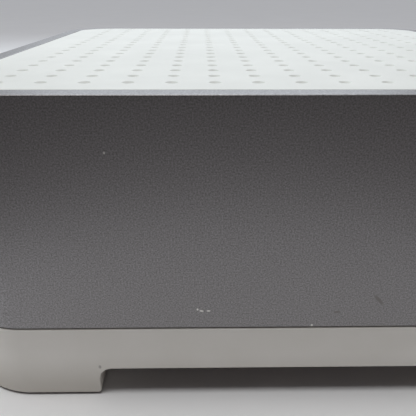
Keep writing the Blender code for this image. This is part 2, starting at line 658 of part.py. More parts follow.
def make_panel(places):
    """Port panel: it fills the sleeve's window and is held by a flange behind the wall."""
    panel = panel_block("port_panel", -FIT_GAP, PANEL_STEP - JOIN_DEPTH, PANEL_FACE, "dark_plastic")
    join(panel, panel_block("panel_flange", PANEL_LIP, PANEL_BACK, PANEL_STEP))
    half = JACK_OUTER / 2 + FIT_GAP
    jack_top = ON_BOARD + JACK_HEIGHT + SEAT_GAP + JACK_SHIELD + FIT_GAP
    jack_hole = box("jack_hole", (places["ethernet"] - half, PANEL_BACK - CUT_MARGIN, ON_BOARD - FIT_GAP),
                    (places["ethernet"] + half, PANEL_FACE + CUT_MARGIN, jack_top))
    round_holes = {
        "power": POWER_NOSE_DIAMETER + 2 * FIT_GAP,
        "sync": SYNC_DIAMETER + 2 * RUNNING_GAP,
        "light": LIGHT_DIAMETER + 2 * RUNNING_GAP,
        "reset": RESET_DIAMETER + 2 * RUNNING_GAP,
    }
    cut(panel, jack_hole)
    for item, diameter in round_holes.items():
        cut(panel, panel_hole("panel_hole_" + item, diameter, places[item]))


def make_jack(middle):
    """Pair of ethernet sockets: a plastic housing in a folded steel shield, with contact combs."""
    half = JACK_WIDTH / 2
    back = JACK_FACE - JACK_DEPTH
    top = ON_BOARD + JACK_HEIGHT
    housing = box("ethernet_housing", (middle - half, back, ON_BOARD), (middle + half, JACK_FACE, top),
                  "dark_plastic")
    skin = JACK_SHIELD + SEAT_GAP
    shield = box("ethernet_shield", (middle - half - skin, back - skin, ON_BOARD),
                 (middle + half + skin, JACK_FACE, top + skin), "tinned_steel")
    cut(shield, box("shield_hollow", (middle - half - SEAT_GAP, back - SEAT_GAP, ON_BOARD - CUT_MARGIN),
                    (middle + half + SEAT_GAP, JACK_FACE + CUT_MARGIN, top + SEAT_GAP)))
    latch_low = ON_BOARD + PORT_FLOOR
    opening_low = latch_low + PORT_LATCH_DEPTH
    opening_top = opening_low + PORT_OPENING_HEIGHT
    for number in range(PORT_COUNT):
        x = middle + PORT_PITCH * (number - (PORT_COUNT - 1) / 2)
        label = str(number + 1)
        opening = box("port_opening_" + label,
                      (x - PORT_OPENING_WIDTH / 2, JACK_FACE - PORT_DEPTH, opening_low),
                      (x + PORT_OPENING_WIDTH / 2, JACK_FACE + CUT_MARGIN, opening_top))
        latch = box("port_latch_" + label,
                    (x - PORT_LATCH_WIDTH / 2, JACK_FACE - PORT_DEPTH, latch_low),
                    (x + PORT_LATCH_WIDTH / 2, JACK_FACE + CUT_MARGIN, opening_low + JOIN_DEPTH))
        cut(housing, opening, latch)
        make_contacts(label, x, opening_top)


def make_contacts(label, x, ceiling):
    """Comb of gold contacts under the ceiling of one socket."""
    span = (CONTACT_COUNT - 1) * CONTACT_PITCH
    back = JACK_FACE - PORT_DEPTH + SEAT_GAP
    top = ceiling - SEAT_GAP
    bottom = top - CONTACT_DROP
    first = x - span / 2
    last = x + span / 2
    comb = box("ethernet_contacts_" + label, (first - CONTACT_WIDTH, back, bottom),
               (last + CONTACT_WIDTH, back + CONTACT_BAR, top), "gold_plate")
    blades = box("contact_blades_" + label,
                 (first - CONTACT_WIDTH / 2, back + CONTACT_BAR / 2, bottom + CONTACT_STEP),
                 (first + CONTACT_WIDTH / 2, back + CONTACT_LENGTH, top - CONTACT_STEP))
    repeat_along(blades, CONTACT_COUNT, (CONTACT_PITCH, 0, 0))
    join(comb, blades)


def make_power_socket(x):
    """Barrel power socket: a block on the board, a round nose through the panel, and its pin."""
    face = PANEL_BACK - FIT_GAP
    axis = AXIS_HEIGHT
    socket = box("power_socket", (x - POWER_WIDTH / 2, face - POWER_DEPTH, ON_BOARD),
                 (x + POWER_WIDTH / 2, face, ON_BOARD + POWER_HEIGHT), "dark_plastic")
    nose_radius = POWER_NOSE_DIAMETER / 2
    nose_length = JACK_FACE - face
    nose = [(0, nose_length), (nose_radius, nose_length), (nose_radius, -JOIN_DEPTH), (0, -JOIN_DEPTH)]
    bore_radius = POWER_BORE / 2
    bore_end = nose_length - POWER_BORE_DEPTH
    bore = [(0, nose_length + CUT_MARGIN), (bore_radius, nose_length + CUT_MARGIN),
            (bore_radius, bore_end), (0, bore_end)]
    join(socket, turned("power_nose", nose, (x, face, axis), OUTWARDS))
    cut(socket, turned("power_bore", bore, (x, face, axis), OUTWARDS))
    pin_radius = POWER_PIN / 2
    pin_base = bore_end + SEAT_GAP
    pin_tip = pin_base + POWER_PIN_LENGTH
    pin = [(0, pin_tip), (pin_radius - POWER_PIN_EDGE, pin_tip), (pin_radius, pin_tip - POWER_PIN_EDGE),
           (pin_radius, pin_base), (0, pin_base)]
    turned("power_pin", pin, (x, face, axis), OUTWARDS, "tinned_steel", SMALL_SIDES)


def make_button(name, x, diameter, proud, flange_diameter, stem_diameter, finish, sides=ROUND_SIDES):
    """Push button through the panel, with its switch on the board and the switch's plunger.

    The button's origin is on its axis, at the panel's face.
    """
    radius = diameter / 2
    flange_radius = flange_diameter / 2
    stem_radius = stem_diameter / 2
    flange_front = FLANGE_BACK + BUTTON_FLANGE - PANEL_FACE
    flange_back = FLANGE_BACK - PANEL_FACE
    stem_end = STEM_END - PANEL_FACE
    cap = [(0, proud), (radius - BUTTON_EDGE, proud), (radius, proud - BUTTON_EDGE), (radius, flange_front),
           (flange_radius, flange_front), (flange_radius, flange_back), (stem_radius, flange_back),
           (stem_radius, stem_end), (0, stem_end)]
    turned(name + "_button", cap, (x, PANEL_FACE, AXIS_HEIGHT), OUTWARDS, finish, sides)
    plunger_radius = PLUNGER_DIAMETER / 2
    plunger = [(0, PLUNGER_PROUD), (plunger_radius, PLUNGER_PROUD), (plunger_radius, -PLUNGER_INSIDE),
               (0, -PLUNGER_INSIDE)]
    turned(name + "_plunger", plunger, (x, SWITCH_FACE, AXIS_HEIGHT), OUTWARDS, "dark_plastic", SMALL_SIDES)
    switch = box(name + "_switch", (x - SWITCH_WIDTH / 2, SWITCH_FACE - SWITCH_DEPTH, ON_BOARD),
                 (x + SWITCH_WIDTH / 2, SWITCH_FACE, AXIS_HEIGHT + SWITCH_ABOVE_AXIS), "dark_plastic")
    well_radius = plunger_radius + RUNNING_GAP
    well_end = -PLUNGER_INSIDE - BUTTON_TRAVEL - SEAT_GAP
    well = [(0, CUT_MARGIN), (well_radius, CUT_MARGIN), (well_radius, well_end), (0, well_end)]
    cut(switch, turned(name + "_well", well, (x, SWITCH_FACE, AXIS_HEIGHT), OUTWARDS, sides=SMALL_SIDES))


def make_status_light(x):
    """Light pipe in the panel, lit by a lamp that stands on the board."""
    radius = LIGHT_DIAMETER / 2
    pipe = [(0, 0), (radius, 0), (radius, -LIGHT_LENGTH), (0, -LIGHT_LENGTH)]
    turned("status_light_pipe", pipe, (x, PANEL_FACE, AXIS_HEIGHT), OUTWARDS, "clear_plastic", SMALL_SIDES)
    front = PANEL_FACE - LIGHT_LENGTH - SEAT_GAP
    box("status_led", (x - LED_WIDTH / 2, front - LED_DEPTH, ON_BOARD),
        (x + LED_WIDTH / 2, front, AXIS_HEIGHT + LED_ABOVE_AXIS), "clear_plastic")


# Main board with its cooling

def screw_profile(head_diameter, head_height, shank_diameter, length):
    """Profile of a pan-head screw whose head rests at height zero."""
    head = head_diameter / 2
    shank = shank_diameter / 2
    return [(0, head_height), (head, head_height), (head, 0), (shank, 0), (shank, -length), (0, -length)]


def make_board():
    """Main board, and the screws that hold it to the base's standoffs."""
    board = box("main_board", (-BOARD_HALF_WIDTH, BOARD_FRONT, BOARD_BOTTOM),
                (BOARD_HALF_WIDTH, BOARD_REAR, BOARD_TOP), "circuit_board")
    hole = BOARD_SCREW_SHANK + 2 * RUNNING_GAP
    for name, x, hole_ys in (("board", BOARD_HOLE_X, BOARD_HOLE_YS),
                             ("heatsink", HEATSINK_HOLE_X, HEATSINK_HOLE_YS)):
        for y in hole_ys:
            holes = rod(name + "_holes", hole, BOARD_BOTTOM - CUT_MARGIN, BOARD_TOP + CUT_MARGIN, (x, y),
                        sides=SMALL_SIDES)
            cut(board, repeat_at_corners(holes, lengthways=False))
    length = SEAT_GAP + BOARD_THICKNESS + SEAT_GAP + BOARD_SCREW_GRIP
    add_screws("board_screw", BOARD_HOLE_X, BOARD_HOLE_YS, ON_BOARD, length)


def add_screws(name, x, ys, seat, length):
    """Four screws of one size, pointing down from a seat."""
    profile = screw_profile(BOARD_SCREW_HEAD, BOARD_SCREW_HEAD_HEIGHT, BOARD_SCREW_SHANK, length)
    for end, y in zip(("front", "rear"), ys):
        for side, sign in (("left", -1), ("right", 1)):
            turned("%s_%s_%s" % (name, end, side), profile, (sign * x, y, seat), finish="tinned_steel",
                   sides=SMALL_SIDES)


def make_cans():
    """Chips for the processor and the two radios, each under a shield can with a thermal pad on top."""
    radio_x = PROCESSOR_CAN / 2 + CAN_SPACING + RADIO_CAN_WIDTH / 2
    cans = {
        "processor": (0, PROCESSOR_CAN, PROCESSOR_CAN),
        "radio_left": (-radio_x, RADIO_CAN_WIDTH, RADIO_CAN_DEPTH),
        "radio_right": (radio_x, RADIO_CAN_WIDTH, RADIO_CAN_DEPTH),
    }
    can_top = ON_BOARD + CAN_HEIGHT
    ceiling = can_top - CAN_WALL
    pad_bottom = can_top + SEAT_GAP
    pad_top = pad_bottom + THERMAL_PAD_THICKNESS
    for name, plan in cans.items():
        can = under_heatsink(name + "_shield", plan, 0, ON_BOARD, can_top, "tinned_steel")
        cut(can, under_heatsink(name + "_shield_hollow", plan, CAN_WALL, ON_BOARD - CUT_MARGIN, ceiling))
        under_heatsink(name + "_chip", plan, CHIP_INSET, ON_BOARD, ceiling - SEAT_GAP, "dark_plastic")
        under_heatsink(name + "_thermal_pad", plan, THERMAL_PAD_INSET, pad_bottom, pad_top, "thermal_pad")


def under_heatsink(name, plan, inset, low, high, finish=None):
    """A box under the middle of the heat sink, from its (x, width, depth), drawn in by an inset."""
    x, width, depth = plan
    half_x = width / 2 - inset
    half_y = depth / 2 - inset
    return box(name, (x - half_x, HEATSINK_Y - half_y, low), (x + half_x, HEATSINK_Y + half_y, high), finish)


def make_heatsink():
    """Finned heat sink on four posts, screwed down to the board."""
    half_x = HEATSINK_WIDTH / 2
    half_y = HEATSINK_DEPTH / 2
    heatsink = box("heatsink", (-half_x, HEATSINK_Y - half_y, HEATSINK_BOTTOM),
                   (half_x, HEATSINK_Y + half_y, HEATSINK_FLOOR), "aluminium")
    fin_pitch = (HEATSINK_WIDTH - FIN_THICKNESS) / (FIN_COUNT - 1)
    fin_y = half_y - FIN_END_MARGIN
    fins = box("heatsink_fins", (-half_x, HEATSINK_Y - fin_y, HEATSINK_FLOOR - JOIN_DEPTH),
               (-half_x + FIN_THICKNESS, HEATSINK_Y + fin_y, HEATSINK_FLOOR + FIN_HEIGHT))
    repeat_along(fins, FIN_COUNT, (fin_pitch, 0, 0))
    join(heatsink, fins)
    hole = BOARD_SCREW_SHANK + 2 * RUNNING_GAP
    for y in HEATSINK_HOLE_YS:
        post = rod("heatsink_post", HEATSINK_POST_DIAMETER, ON_BOARD, HEATSINK_BOTTOM + JOIN_DEPTH,
                   (HEATSINK_HOLE_X, y), sides=SMALL_SIDES)
        join(heatsink, repeat_at_corners(post, lengthways=False))
    for y in HEATSINK_HOLE_YS:
        bore = rod("heatsink_bore", hole, ON_BOARD - CUT_MARGIN, HEATSINK_FLOOR + CUT_MARGIN,
                   (HEATSINK_HOLE_X, y), sides=SMALL_SIDES)
        cut(heatsink, repeat_at_corners(bore, lengthways=False))
    seat = HEATSINK_FLOOR + SEAT_GAP
    length = seat - BOARD_BOTTOM + HEATSINK_SCREW_TAIL
    add_screws("heatsink_screw", HEATSINK_HOLE_X, HEATSINK_HOLE_YS, seat, length)


def make_board_parts(places):
    """Network transformer, inductor and capacitor, between the sockets and the heat sink."""
    jack_back = JACK_FACE - JACK_DEPTH - JACK_SHIELD - SEAT_GAP
    on_board_box("network_transformer", TRANSFORMER_SIZE, places["ethernet"],
                 jack_back - PART_SPACING - TRANSFORMER_SIZE[1] / 2)
    switch_back = SWITCH_FACE - SWITCH_DEPTH
    on_board_box("power_inductor", INDUCTOR_SIZE, places["sync"],
                 switch_back - PART_SPACING - INDUCTOR_SIZE[1] / 2)
    socket_back = PANEL_BACK - FIT_GAP - POWER_DEPTH
    radius = CAPACITOR_DIAMETER / 2
    can = [(0, CAPACITOR_HEIGHT), (radius, CAPACITOR_HEIGHT), (radius, 0), (0, 0)]
    turned("power_capacitor", can, (places["power"], socket_back - PART_SPACING - radius, ON_BOARD),
           finish="aluminium", sides=SMALL_SIDES)


def on_board_box(name, size, x, y):
    """A component package on the board."""
    box(name, (x - size[0] / 2, y - size[1] / 2, ON_BOARD),
        (x + size[0] / 2, y + size[1] / 2, ON_BOARD + size[2]), "dark_plastic")


# Antennas

def make_antennas():
    """Antenna strips stuck to the sleeve's side walls, each with a coaxial lead down to the board."""
    wall = BODY_WIDTH / 2 - SLEEVE_WALL - SEAT_GAP
    top = SKIRT_BOTTOM - ANTENNA_BELOW_LID
    plug_x = BOARD_HALF_WIDTH - PLUG_INSET
    plug_radius = PLUG_DIAMETER / 2
    plug = [(0, PLUG_HEIGHT), (plug_radius, PLUG_HEIGHT), (plug_radius, 0), (0, 0)]
    for side, sign in (("left", -1), ("right", 1)):
        for end, y in (("front", -ANTENNA_SPACING / 2), ("rear", ANTENNA_SPACING / 2)):
            label = "_%s_%s" % (side, end)
            inner = sign * (wall - ANTENNA_THICKNESS)
            outer = sign * wall
            box("antenna" + label, (min(inner, outer), y - ANTENNA_LENGTH / 2, top - ANTENNA_HEIGHT),
                (max(inner, outer), y + ANTENNA_LENGTH / 2, top), "circuit_board")
            turned("antenna_plug" + label, plug, (sign * plug_x, y, ON_BOARD), finish="gold_plate",
                   sides=SMALL_SIDES)
            lead_x = wall - ANTENNA_THICKNESS - SEAT_GAP - COAX_DIAMETER / 2
            start = Vector((sign * lead_x, y, top - ANTENNA_HEIGHT / 2))
            end_point = Vector((sign * (plug_x + plug_radius + SEAT_GAP), y, ON_BOARD + PLUG_HEIGHT / 2))
            make_lead("antenna_lead" + label, start, end_point, sign)


def make_lead(name, start, end, sign):
    """Thin coaxial lead: straight down from the antenna, then level into its plug."""
    down = start - Vector((0, 0, COAX_BEND))
    level = end + Vector((sign * COAX_BEND, 0, 0))
    route = interpolate_bezier(start, down, level, end, COAX_STEPS)
    curve = bpy.data.curves.new(name, "CURVE")
    curve.dimensions = "3D"
    curve.bevel_depth = COAX_DIAMETER / 2
    curve.bevel_resolution = 2
    curve.use_fill_caps = True
    spline = curve.splines.new("POLY")
    spline.points.add(len(route) - 1)
    for point, place_3d in zip(spline.points, route):
        point.co = (*place_3d, 1)
    place(name, curve, finish="black_cable")


def main():
    places = port_places()
    make_lid()
    make_sleeve()
    make_base()
    make_feet()
    make_panel(places)
    make_jack(places["ethernet"])
    make_power_socket(places["power"])
    make_button("sync", places["sync"], SYNC_DIAMETER, SYNC_PROUD, SYNC_FLANGE_DIAMETER,
                SYNC_STEM_DIAMETER, "white_plastic")
    make_button("reset", places["reset"], RESET_DIAMETER, -RESET_SUNK, RESET_FLANGE_DIAMETER,
                RESET_STEM_DIAMETER, "dark_plastic", SMALL_SIDES)
    make_status_light(places["light"])
    make_board()
    make_cans()
    make_heatsink()
    make_board_parts(places)
    make_antennas()


main()
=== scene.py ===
"""Looks of a square mesh wifi node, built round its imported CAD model.

A white vented lid lies in the flat rim of a satin grey sleeve, on a white base with four corner feet.
The socket row is at the rear. Units are metres, and lengths are written in millimetres times MM.
"""
import json
import math

import bmesh
import bpy
from mathutils import Matrix, Vector


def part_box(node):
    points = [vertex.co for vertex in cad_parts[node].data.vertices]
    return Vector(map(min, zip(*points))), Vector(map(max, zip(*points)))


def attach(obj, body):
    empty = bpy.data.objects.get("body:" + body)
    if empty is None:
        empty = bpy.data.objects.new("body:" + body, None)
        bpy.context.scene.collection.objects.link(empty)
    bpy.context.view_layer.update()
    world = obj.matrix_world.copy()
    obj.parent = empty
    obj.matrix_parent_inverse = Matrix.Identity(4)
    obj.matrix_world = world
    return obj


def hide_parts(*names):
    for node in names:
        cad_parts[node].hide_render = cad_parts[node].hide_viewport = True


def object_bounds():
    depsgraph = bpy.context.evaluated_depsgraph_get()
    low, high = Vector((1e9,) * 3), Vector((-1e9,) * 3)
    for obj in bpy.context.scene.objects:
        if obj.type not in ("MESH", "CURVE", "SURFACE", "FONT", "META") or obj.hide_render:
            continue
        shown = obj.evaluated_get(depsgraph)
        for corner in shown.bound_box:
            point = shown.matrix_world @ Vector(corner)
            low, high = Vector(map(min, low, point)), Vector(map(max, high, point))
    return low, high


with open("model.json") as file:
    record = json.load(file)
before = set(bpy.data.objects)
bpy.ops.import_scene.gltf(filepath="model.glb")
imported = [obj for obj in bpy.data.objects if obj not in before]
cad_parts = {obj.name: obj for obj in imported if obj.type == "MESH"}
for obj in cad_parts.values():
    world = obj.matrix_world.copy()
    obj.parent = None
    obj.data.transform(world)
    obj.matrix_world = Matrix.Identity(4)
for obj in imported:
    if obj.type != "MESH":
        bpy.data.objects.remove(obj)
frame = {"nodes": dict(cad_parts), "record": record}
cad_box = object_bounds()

MM = 0.001

# Shell sizes that the frame's boxes don't give
CORNER_RADIUS = 16 * MM
SLEEVE_WALL = 2.2 * MM
RIM_WIDTH = 4.15 * MM
RIM_EDGE = 0.3 * MM
LEDGE_WIDTH = 2 * MM
LEDGE_TOP_BELOW_RIM = 2.2 * MM
LEDGE_THICKNESS = 1.6 * MM
LID_THICKNESS = 2 * MM
LID_EDGE = 0.25 * MM
SKIRT_INSET = 2.1 * MM  # from the lid's side to its skirt
SKIRT_WALL = 1.4 * MM
HOOK_SIZE = (12 * MM, 0.8 * MM, 1 * MM)
HOOK_LIFT = 0.5 * MM  # above the skirt's lower edge
HOOK_SPACING = 64 * MM
VENT_COLUMN_PITCH = 7.87 * MM
VENT_ROW_PITCH = 7 * MM
VENT_COLUMNS = 15
VENT_ROWS = 18
VENT_RADIUS = 0.65 * MM
VENT_MOUTH = 1.2 * MM
VENT_MOUTH_DEPTH = 0.42 * MM
VENT_SIDES = 14
SEAM_EDGE = 0.12 * MM

# Base and feet
SEAM_GAP = 0.3 * MM
LIP_HEIGHT = 2.2 * MM
LIP_INSET = 2.5 * MM
LIP_WALL = 1.2 * MM
BASE_FLOOR_TOP = 9.1 * MM
FOOT_BOTTOM = 0.5 * MM
FOOT_LENGTH = 30.7 * MM
ARCH_TOP = 6.9 * MM
ARCH_TOP_RADIUS = 2.5 * MM
ARCH_TOE_RADIUS = 0.8 * MM
BASE_EDGE = 0.3 * MM
# Top of the painted shade that darkens the base towards its feet
FOOT_SHADE_TOP = 11.2 * MM
INTAKE_WIDTH = 2.4 * MM
INTAKE_LENGTH = 26 * MM
INTAKE_PITCH = 5.2 * MM
INTAKE_COUNT = 11
INTAKE_ROW_SPACING = 34 * MM
INTAKE_EDGE = 0.3 * MM
STANDOFF_RADIUS = 3.5 * MM
STANDOFF_PILOT = 1.5 * MM
STANDOFF_PILOT_DEPTH = 10 * MM
BOSS_RADIUS = 5 * MM
SLEEVE_BOSS_RADIUS = 4 * MM
SLEEVE_BOSS_HEIGHT = 17 * MM
BOSS_RIB = 1.8 * MM
CASE_SCREW_HOLE = 1.7 * MM
CASE_SCREW_PILOT = 1.6 * MM
CASE_SCREW_PILOT_DEPTH = 13 * MM
CASE_SCREW_POCKET = 3.1 * MM
PAD_POCKET = 7.2 * MM
PAD_POCKET_TOP = 1.7 * MM
SCREW_POCKET_TOP = 4.3 * MM

# Rubber pads
PAD_EDGE = 0.35 * MM
PAD_GROOVE = (4.4 * MM, 5.2 * MM)  # inner and outer radius of the ring in its underside
PAD_GROOVE_DEPTH = 0.25 * MM

# Socket row
PANEL_FLANGE = 1.3 * MM
PANEL_LIP = 2.3 * MM  # from the flange's edge to the face's edge
PANEL_CORNER = 2.5 * MM
PANEL_GAP = 0.3 * MM
PANEL_EDGE = 0.3 * MM
HOLE_FLARE = 0.25 * MM
PORT_SPACING = 16 * MM
PORT_OPENING = (11.9 * MM, 6.9 * MM)
PORT_LATCH = (6.4 * MM, 2.4 * MM)
PORT_LATCH_STEP = (3.6 * MM, 0.7 * MM)
PORT_FLOOR = 1.6 * MM
PORT_DEPTH = 13 * MM
PORT_EDGE = 0.3 * MM
SCREEN_THICKNESS = 0.4 * MM
SCREEN_EDGE = 0.25 * MM
CONTACT_COUNT = 8
CONTACT_PITCH = 1.02 * MM
CONTACT_RADIUS = 0.19 * MM
CONTACT_SIDES = 10
CONTACT_BAR = 0.6 * MM
CONTACT_SHOULDER = (0.2, 0.3)  # shares of a wire's reach at which it leaves the bar's height
CONTACT_SHOULDER_DROP = 0.1 * MM
CONTACT_TOE = (0.85, 0.93)  # shares of its reach at which it levels out near the mouth
CONTACT_TOE_RISE = 0.05 * MM
CONTACT_TIP_LIFT = 0.2 * MM
POWER_NOSE = 4.3 * MM
POWER_BORE = 2.9 * MM
POWER_BORE_DEPTH = 10 * MM
POWER_NOSE_LENGTH = 2.8 * MM
POWER_EDGE = 0.4 * MM
SYNC_RADIUS = 3.5 * MM
SYNC_DISH = 0.22 * MM
SYNC_DISH_ANGLES = (10, 30, 50, 70)  # degrees of the points on its curve
SYNC_EDGE = 0.4 * MM
SYNC_FLANGE_RADIUS = 4.6 * MM
SYNC_FLANGE = 1 * MM
SYNC_STEM_RADIUS = 1.7 * MM
SYNC_STEM = 2 * MM
LENS_DOME = 0.3 * MM
LENS_DOME_ANGLES = (20, 40, 60, 80)
RUNNING_GAP = 0.2 * MM

# Wear on the front wall: x, z, width and height of each oval mark, and its slant in degrees
CHIPS = (
    (-19.17 * MM, 21.92 * MM, 0.47 * MM, 0.6 * MM, 0),
    (-18.39 * MM, 21.56 * MM, 1 * MM, 0.48 * MM, 10),
    (-17.01 * MM, 21.55 * MM, 0.85 * MM, 0.42 * MM, 0),
    (-34.66 * MM, 54.07 * MM, 0.4 * MM, 0.6 * MM, 0),
    (3.71 * MM, 17.9 * MM, 0.56 * MM, 0.6 * MM, 0),
)
SCUFFS = (
    (8.42 * MM, 21.09 * MM, 1.6 * MM, 0.6 * MM, -12),
    (16.35 * MM, 23.88 * MM, 3.6 * MM, 0.84 * MM, 48),
)
BASE_SPECKS = (
    (-39.57 * MM, 7.53 * MM, 0.68 * MM, 1.08 * MM, 0),
)
MARK_DEPTH = 6 * MM  # into the wall

# Inner parts that are cast in epoxy
PACKAGES = ("processor_chip", "radio_left_chip", "radio_right_chip", "network_transformer", "power_inductor")

# Stage and lamps, whose powers are in watts
FLOOR_HALF = 6000 * MM
CARD_RADIUS = 170 * MM
LOW_CARD_HEIGHT = 60 * MM
TALL_CARD_HEIGHT = 300 * MM
CARD_ANGLE = math.radians(150)
OVERHEAD_PLACE = (-130 * MM, -110 * MM, 600 * MM)
OVERHEAD_SIZE = (600 * MM, 200 * MM)
OVERHEAD_POWER = 1.9
REAR_PLACE = (0, 460 * MM, 420 * MM)
REAR_SIZE = (560 * MM, 400 * MM)
REAR_POWER = 1.25

# Camera: where the photograph was taken from, on an image of 416 by 416 pixels, with angles in degrees
PHOTO_WIDTH = 416
FOCAL_PIXELS = 481
CAMERA_PLACE = (-18.35 * MM, -148.1 * MM, 79.34 * MM)
CAMERA_PITCH = 24.59  # below level
CAMERA_YAW = 0.88  # to the right
CAMERA_ROLL = 0.13
SENSOR_WIDTH = 36  # millimetres, as Blender's lens takes it
NEAREST_SEEN = 5 * MM

# Modelling values
CORNER_STEPS = 16
ROUND_STEPS = 3
TURN_STEPS = 48
OVERLAP = 0.4 * MM
CUT_MARGIN = 2 * MM
MERGE = 0.001 * MM
ARC_TOLERANCE = 0.1 * MM  # how far a corner's flat facets may lie from its arc
SHARP_ANGLE = math.radians(35)
DOWNWARD = 0.8  # part of a normal that points down, from which a face counts as underside

# Colour sockets of a Mix node, by number because its other types share their names
MIX_A = 6
MIX_B = 7
MIX_RESULT = 2

# The outer box of the whole shell, and the places that follow from it
HALF = cad_box[1].xy
TOP = cad_box[1].z
SLEEVE_LOW, SLEEVE_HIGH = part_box("side_sleeve")
LID_LOW, LID_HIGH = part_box("top_lid")
BASE_TOP = SLEEVE_LOW.z - SEAM_GAP
SCREW = HALF - Vector((FOOT_LENGTH, FOOT_LENGTH)) / 2
PANEL_LOW, PANEL_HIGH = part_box("port_panel")
PANEL_HALF = ((PANEL_HIGH.x - PANEL_LOW.x) / 2, (PANEL_HIGH.z - PANEL_LOW.z) / 2)
AXIS = (PANEL_LOW.z + PANEL_HIGH.z) / 2  # height of the socket row
CORNERS = {"front_left": (-1, -1), "front_right": (1, -1), "rear_left": (-1, 1), "rear_right": (1, 1)}
SCREW_PLACES = [Vector((SCREW.x * sign_x, SCREW.y * sign_y)) for sign_x, sign_y in CORNERS.values()]


# Node trees and colours

def colour(code):
    """Linear RGBA of an sRGB hex colour."""
    parts = [int(code[i:i + 2], 16) / 255 for i in (0, 2, 4)]
    return [p / 12.92 if p <= 0.04045 else ((p + 0.055) / 1.055) ** 2.4 for p in parts] + [1]


def add(tree, kind, inputs, stops=(), **settings):
    """Adds a node. Inputs are values for its sockets, or other nodes' sockets to link to them.

    Stops are the (position, hex) colours of a ramp, in order.
    """
    node = tree.nodes.new("ShaderNode" + kind)
    for name, value in settings.items():
        setattr(node, name, value)
    for name, value in inputs.items():
        if isinstance(value, bpy.types.NodeSocket):
            tree.links.new(value, node.inputs[name])
        else:
            node.inputs[name].default_value = value
    for number, (position, code) in enumerate(stops):
        elements = node.color_ramp.elements
        element = elements[number] if number < len(elements) else elements.new(position)
        element.position = position
        element.color = colour(code)
    return node


def start_material(name, sockets):
    """A material with a principled shader, whose plain values are set on its sockets."""
    material = bpy.data.materials.new(name)
    material.use_nodes = True
    tree = material.node_tree
    shader = tree.nodes["Principled BSDF"]
    for socket, value in sockets.items():
        shader.inputs[socket].default_value = value
    place = add(tree, "TexCoord", {}).outputs["Object"]
    return material, tree, shader, place


def grained(name, shades, patch, grit, depth, rough, sockets):
    """A moulded or cast surface: slow colour patches, and a fine grit in bump and roughness."""
    material, tree, shader, place = start_material(name, sockets)
    patches = add(tree, "TexNoise", {"Vector": place, "Scale": 1 / patch, "Detail": 3.0})
    tint = add(tree, "ValToRGB", {"Fac": patches.outputs["Fac"]},
               stops=[(0.35, shades[0]), (0.65, shades[1])])
    grain = add(tree, "TexNoise", {"Vector": place, "Scale": 1 / grit, "Detail": 2.0, "Roughness": 0.6})
    gloss = add(tree, "MapRange", {"Value": grain.outputs["Fac"], "From Min": 0.3, "From Max": 0.7,
                                   "To Min": rough[0], "To Max": rough[1]})
    bump = add(tree, "Bump", {"Height": grain.outputs["Fac"], "Strength": 1.0, "Distance": depth})
    tree.links.new(tint.outputs["Color"], shader.inputs["Base Color"])
    tree.links.new(gloss.outputs["Result"], shader.inputs["Roughness"])
    tree.links.new(bump.outputs["Normal"], shader.inputs["Normal"])
    return material


def drawn_metal(name, shades, along, across, depth, rough):
    """Drawn, rolled or extruded metal: streaks along one axis in colour, gloss and bump."""
    material, tree, shader, place = start_material(name, {"Metallic": 1.0})
    stretch = add(tree, "Mapping", {"Vector": place, "Scale": [1 / size for size in along]})
    streaks = add(tree, "TexNoise", {"Vector": stretch.outputs["Vector"], "Scale": 1.0, "Detail": 4.0})
    spots = add(tree, "TexNoise", {"Vector": place, "Scale": 1 / across, "Detail": 2.0})
    tint = add(tree, "ValToRGB", {"Fac": spots.outputs["Fac"]}, stops=[(0.3, shades[0]), (0.7, shades[1])])
    gloss = add(tree, "MapRange", {"Value": streaks.outputs["Fac"], "From Min": 0.25, "From Max": 0.75,
                                   "To Min": rough[0], "To Max": rough[1]})
    bump = add(tree, "Bump", {"Height": streaks.outputs["Fac"], "Strength": 1.0, "Distance": depth})
    tree.links.new(tint.outputs["Color"], shader.inputs["Base Color"])
    tree.links.new(gloss.outputs["Result"], shader.inputs["Roughness"])
    tree.links.new(bump.outputs["Normal"], shader.inputs["Normal"])
    return material


# Finishes

def textured_white_abs():
    """ABS from a spark-eroded tool: an even cool white, matt, with a fine grit in its highlights."""
    return grained("textured_white_abs", ("E2E4E0", "E7E9E5"), 14 * MM, 0.4 * MM, 0.006 * MM, (0.5, 0.62),
                   {"IOR": 1.54})


def painted_light_white_abs():
    """The same ABS a shade warmer and brighter as painted light, and darker towards the feet as painted
    shade.
    """
    material = grained("painted_light_white_abs", ("F5F2EB", "F9F6F0"), 14 * MM, 0.4 * MM, 0.006 * MM, (0.5, 0.62),
                       {"IOR": 1.54})
    tree = material.node_tree
    shader = tree.nodes["Principled BSDF"]
    clean = shader.inputs["Base Color"].links[0].from_socket
    place = add(tree, "TexCoord", {}).outputs["Object"]
    height = add(tree, "SeparateXYZ", {"Vector": place})
    # Painted shade: the colour darkens towards the feet, for the shade near the floor
    foot_shade_height = add(tree, "MapRange", {"Value": height.outputs["Z"], "From Min": FOOT_BOTTOM,
                                   "From Max": FOOT_SHADE_TOP}, interpolation_type="SMOOTHSTEP")
    foot_shade_ramp = add(tree, "ValToRGB", {"Fac": foot_shade_height.outputs["Result"]}, stops=[(0, "DAD8D5"), (1, "FFFFFF")])
    foot_shaded = add(tree, "Mix", {"Factor": 1.0, MIX_A: clean, MIX_B: foot_shade_ramp.outputs["Color"]}, data_type="RGBA",
                blend_type="MULTIPLY")
    specked = add(tree, "Mix", {"Factor": wear_marks(tree, place, BASE_SPECKS),
                                MIX_A: foot_shaded.outputs[MIX_RESULT], MIX_B: colour("C2BFBA")}, data_type="RGBA")
    tree.links.new(specked.outputs[MIX_RESULT], shader.inputs["Base Color"])
    return material


def painted_shade_underside():
    """Painted shade under the base: a warm dark grey, dull, that stands in for the shadow there."""
    return grained("painted_shade_underside", ("6B5F58", "736760"), 14 * MM, 0.4 * MM, 0.01 * MM, (0.6, 0.75),
                   {"IOR": 1.54})


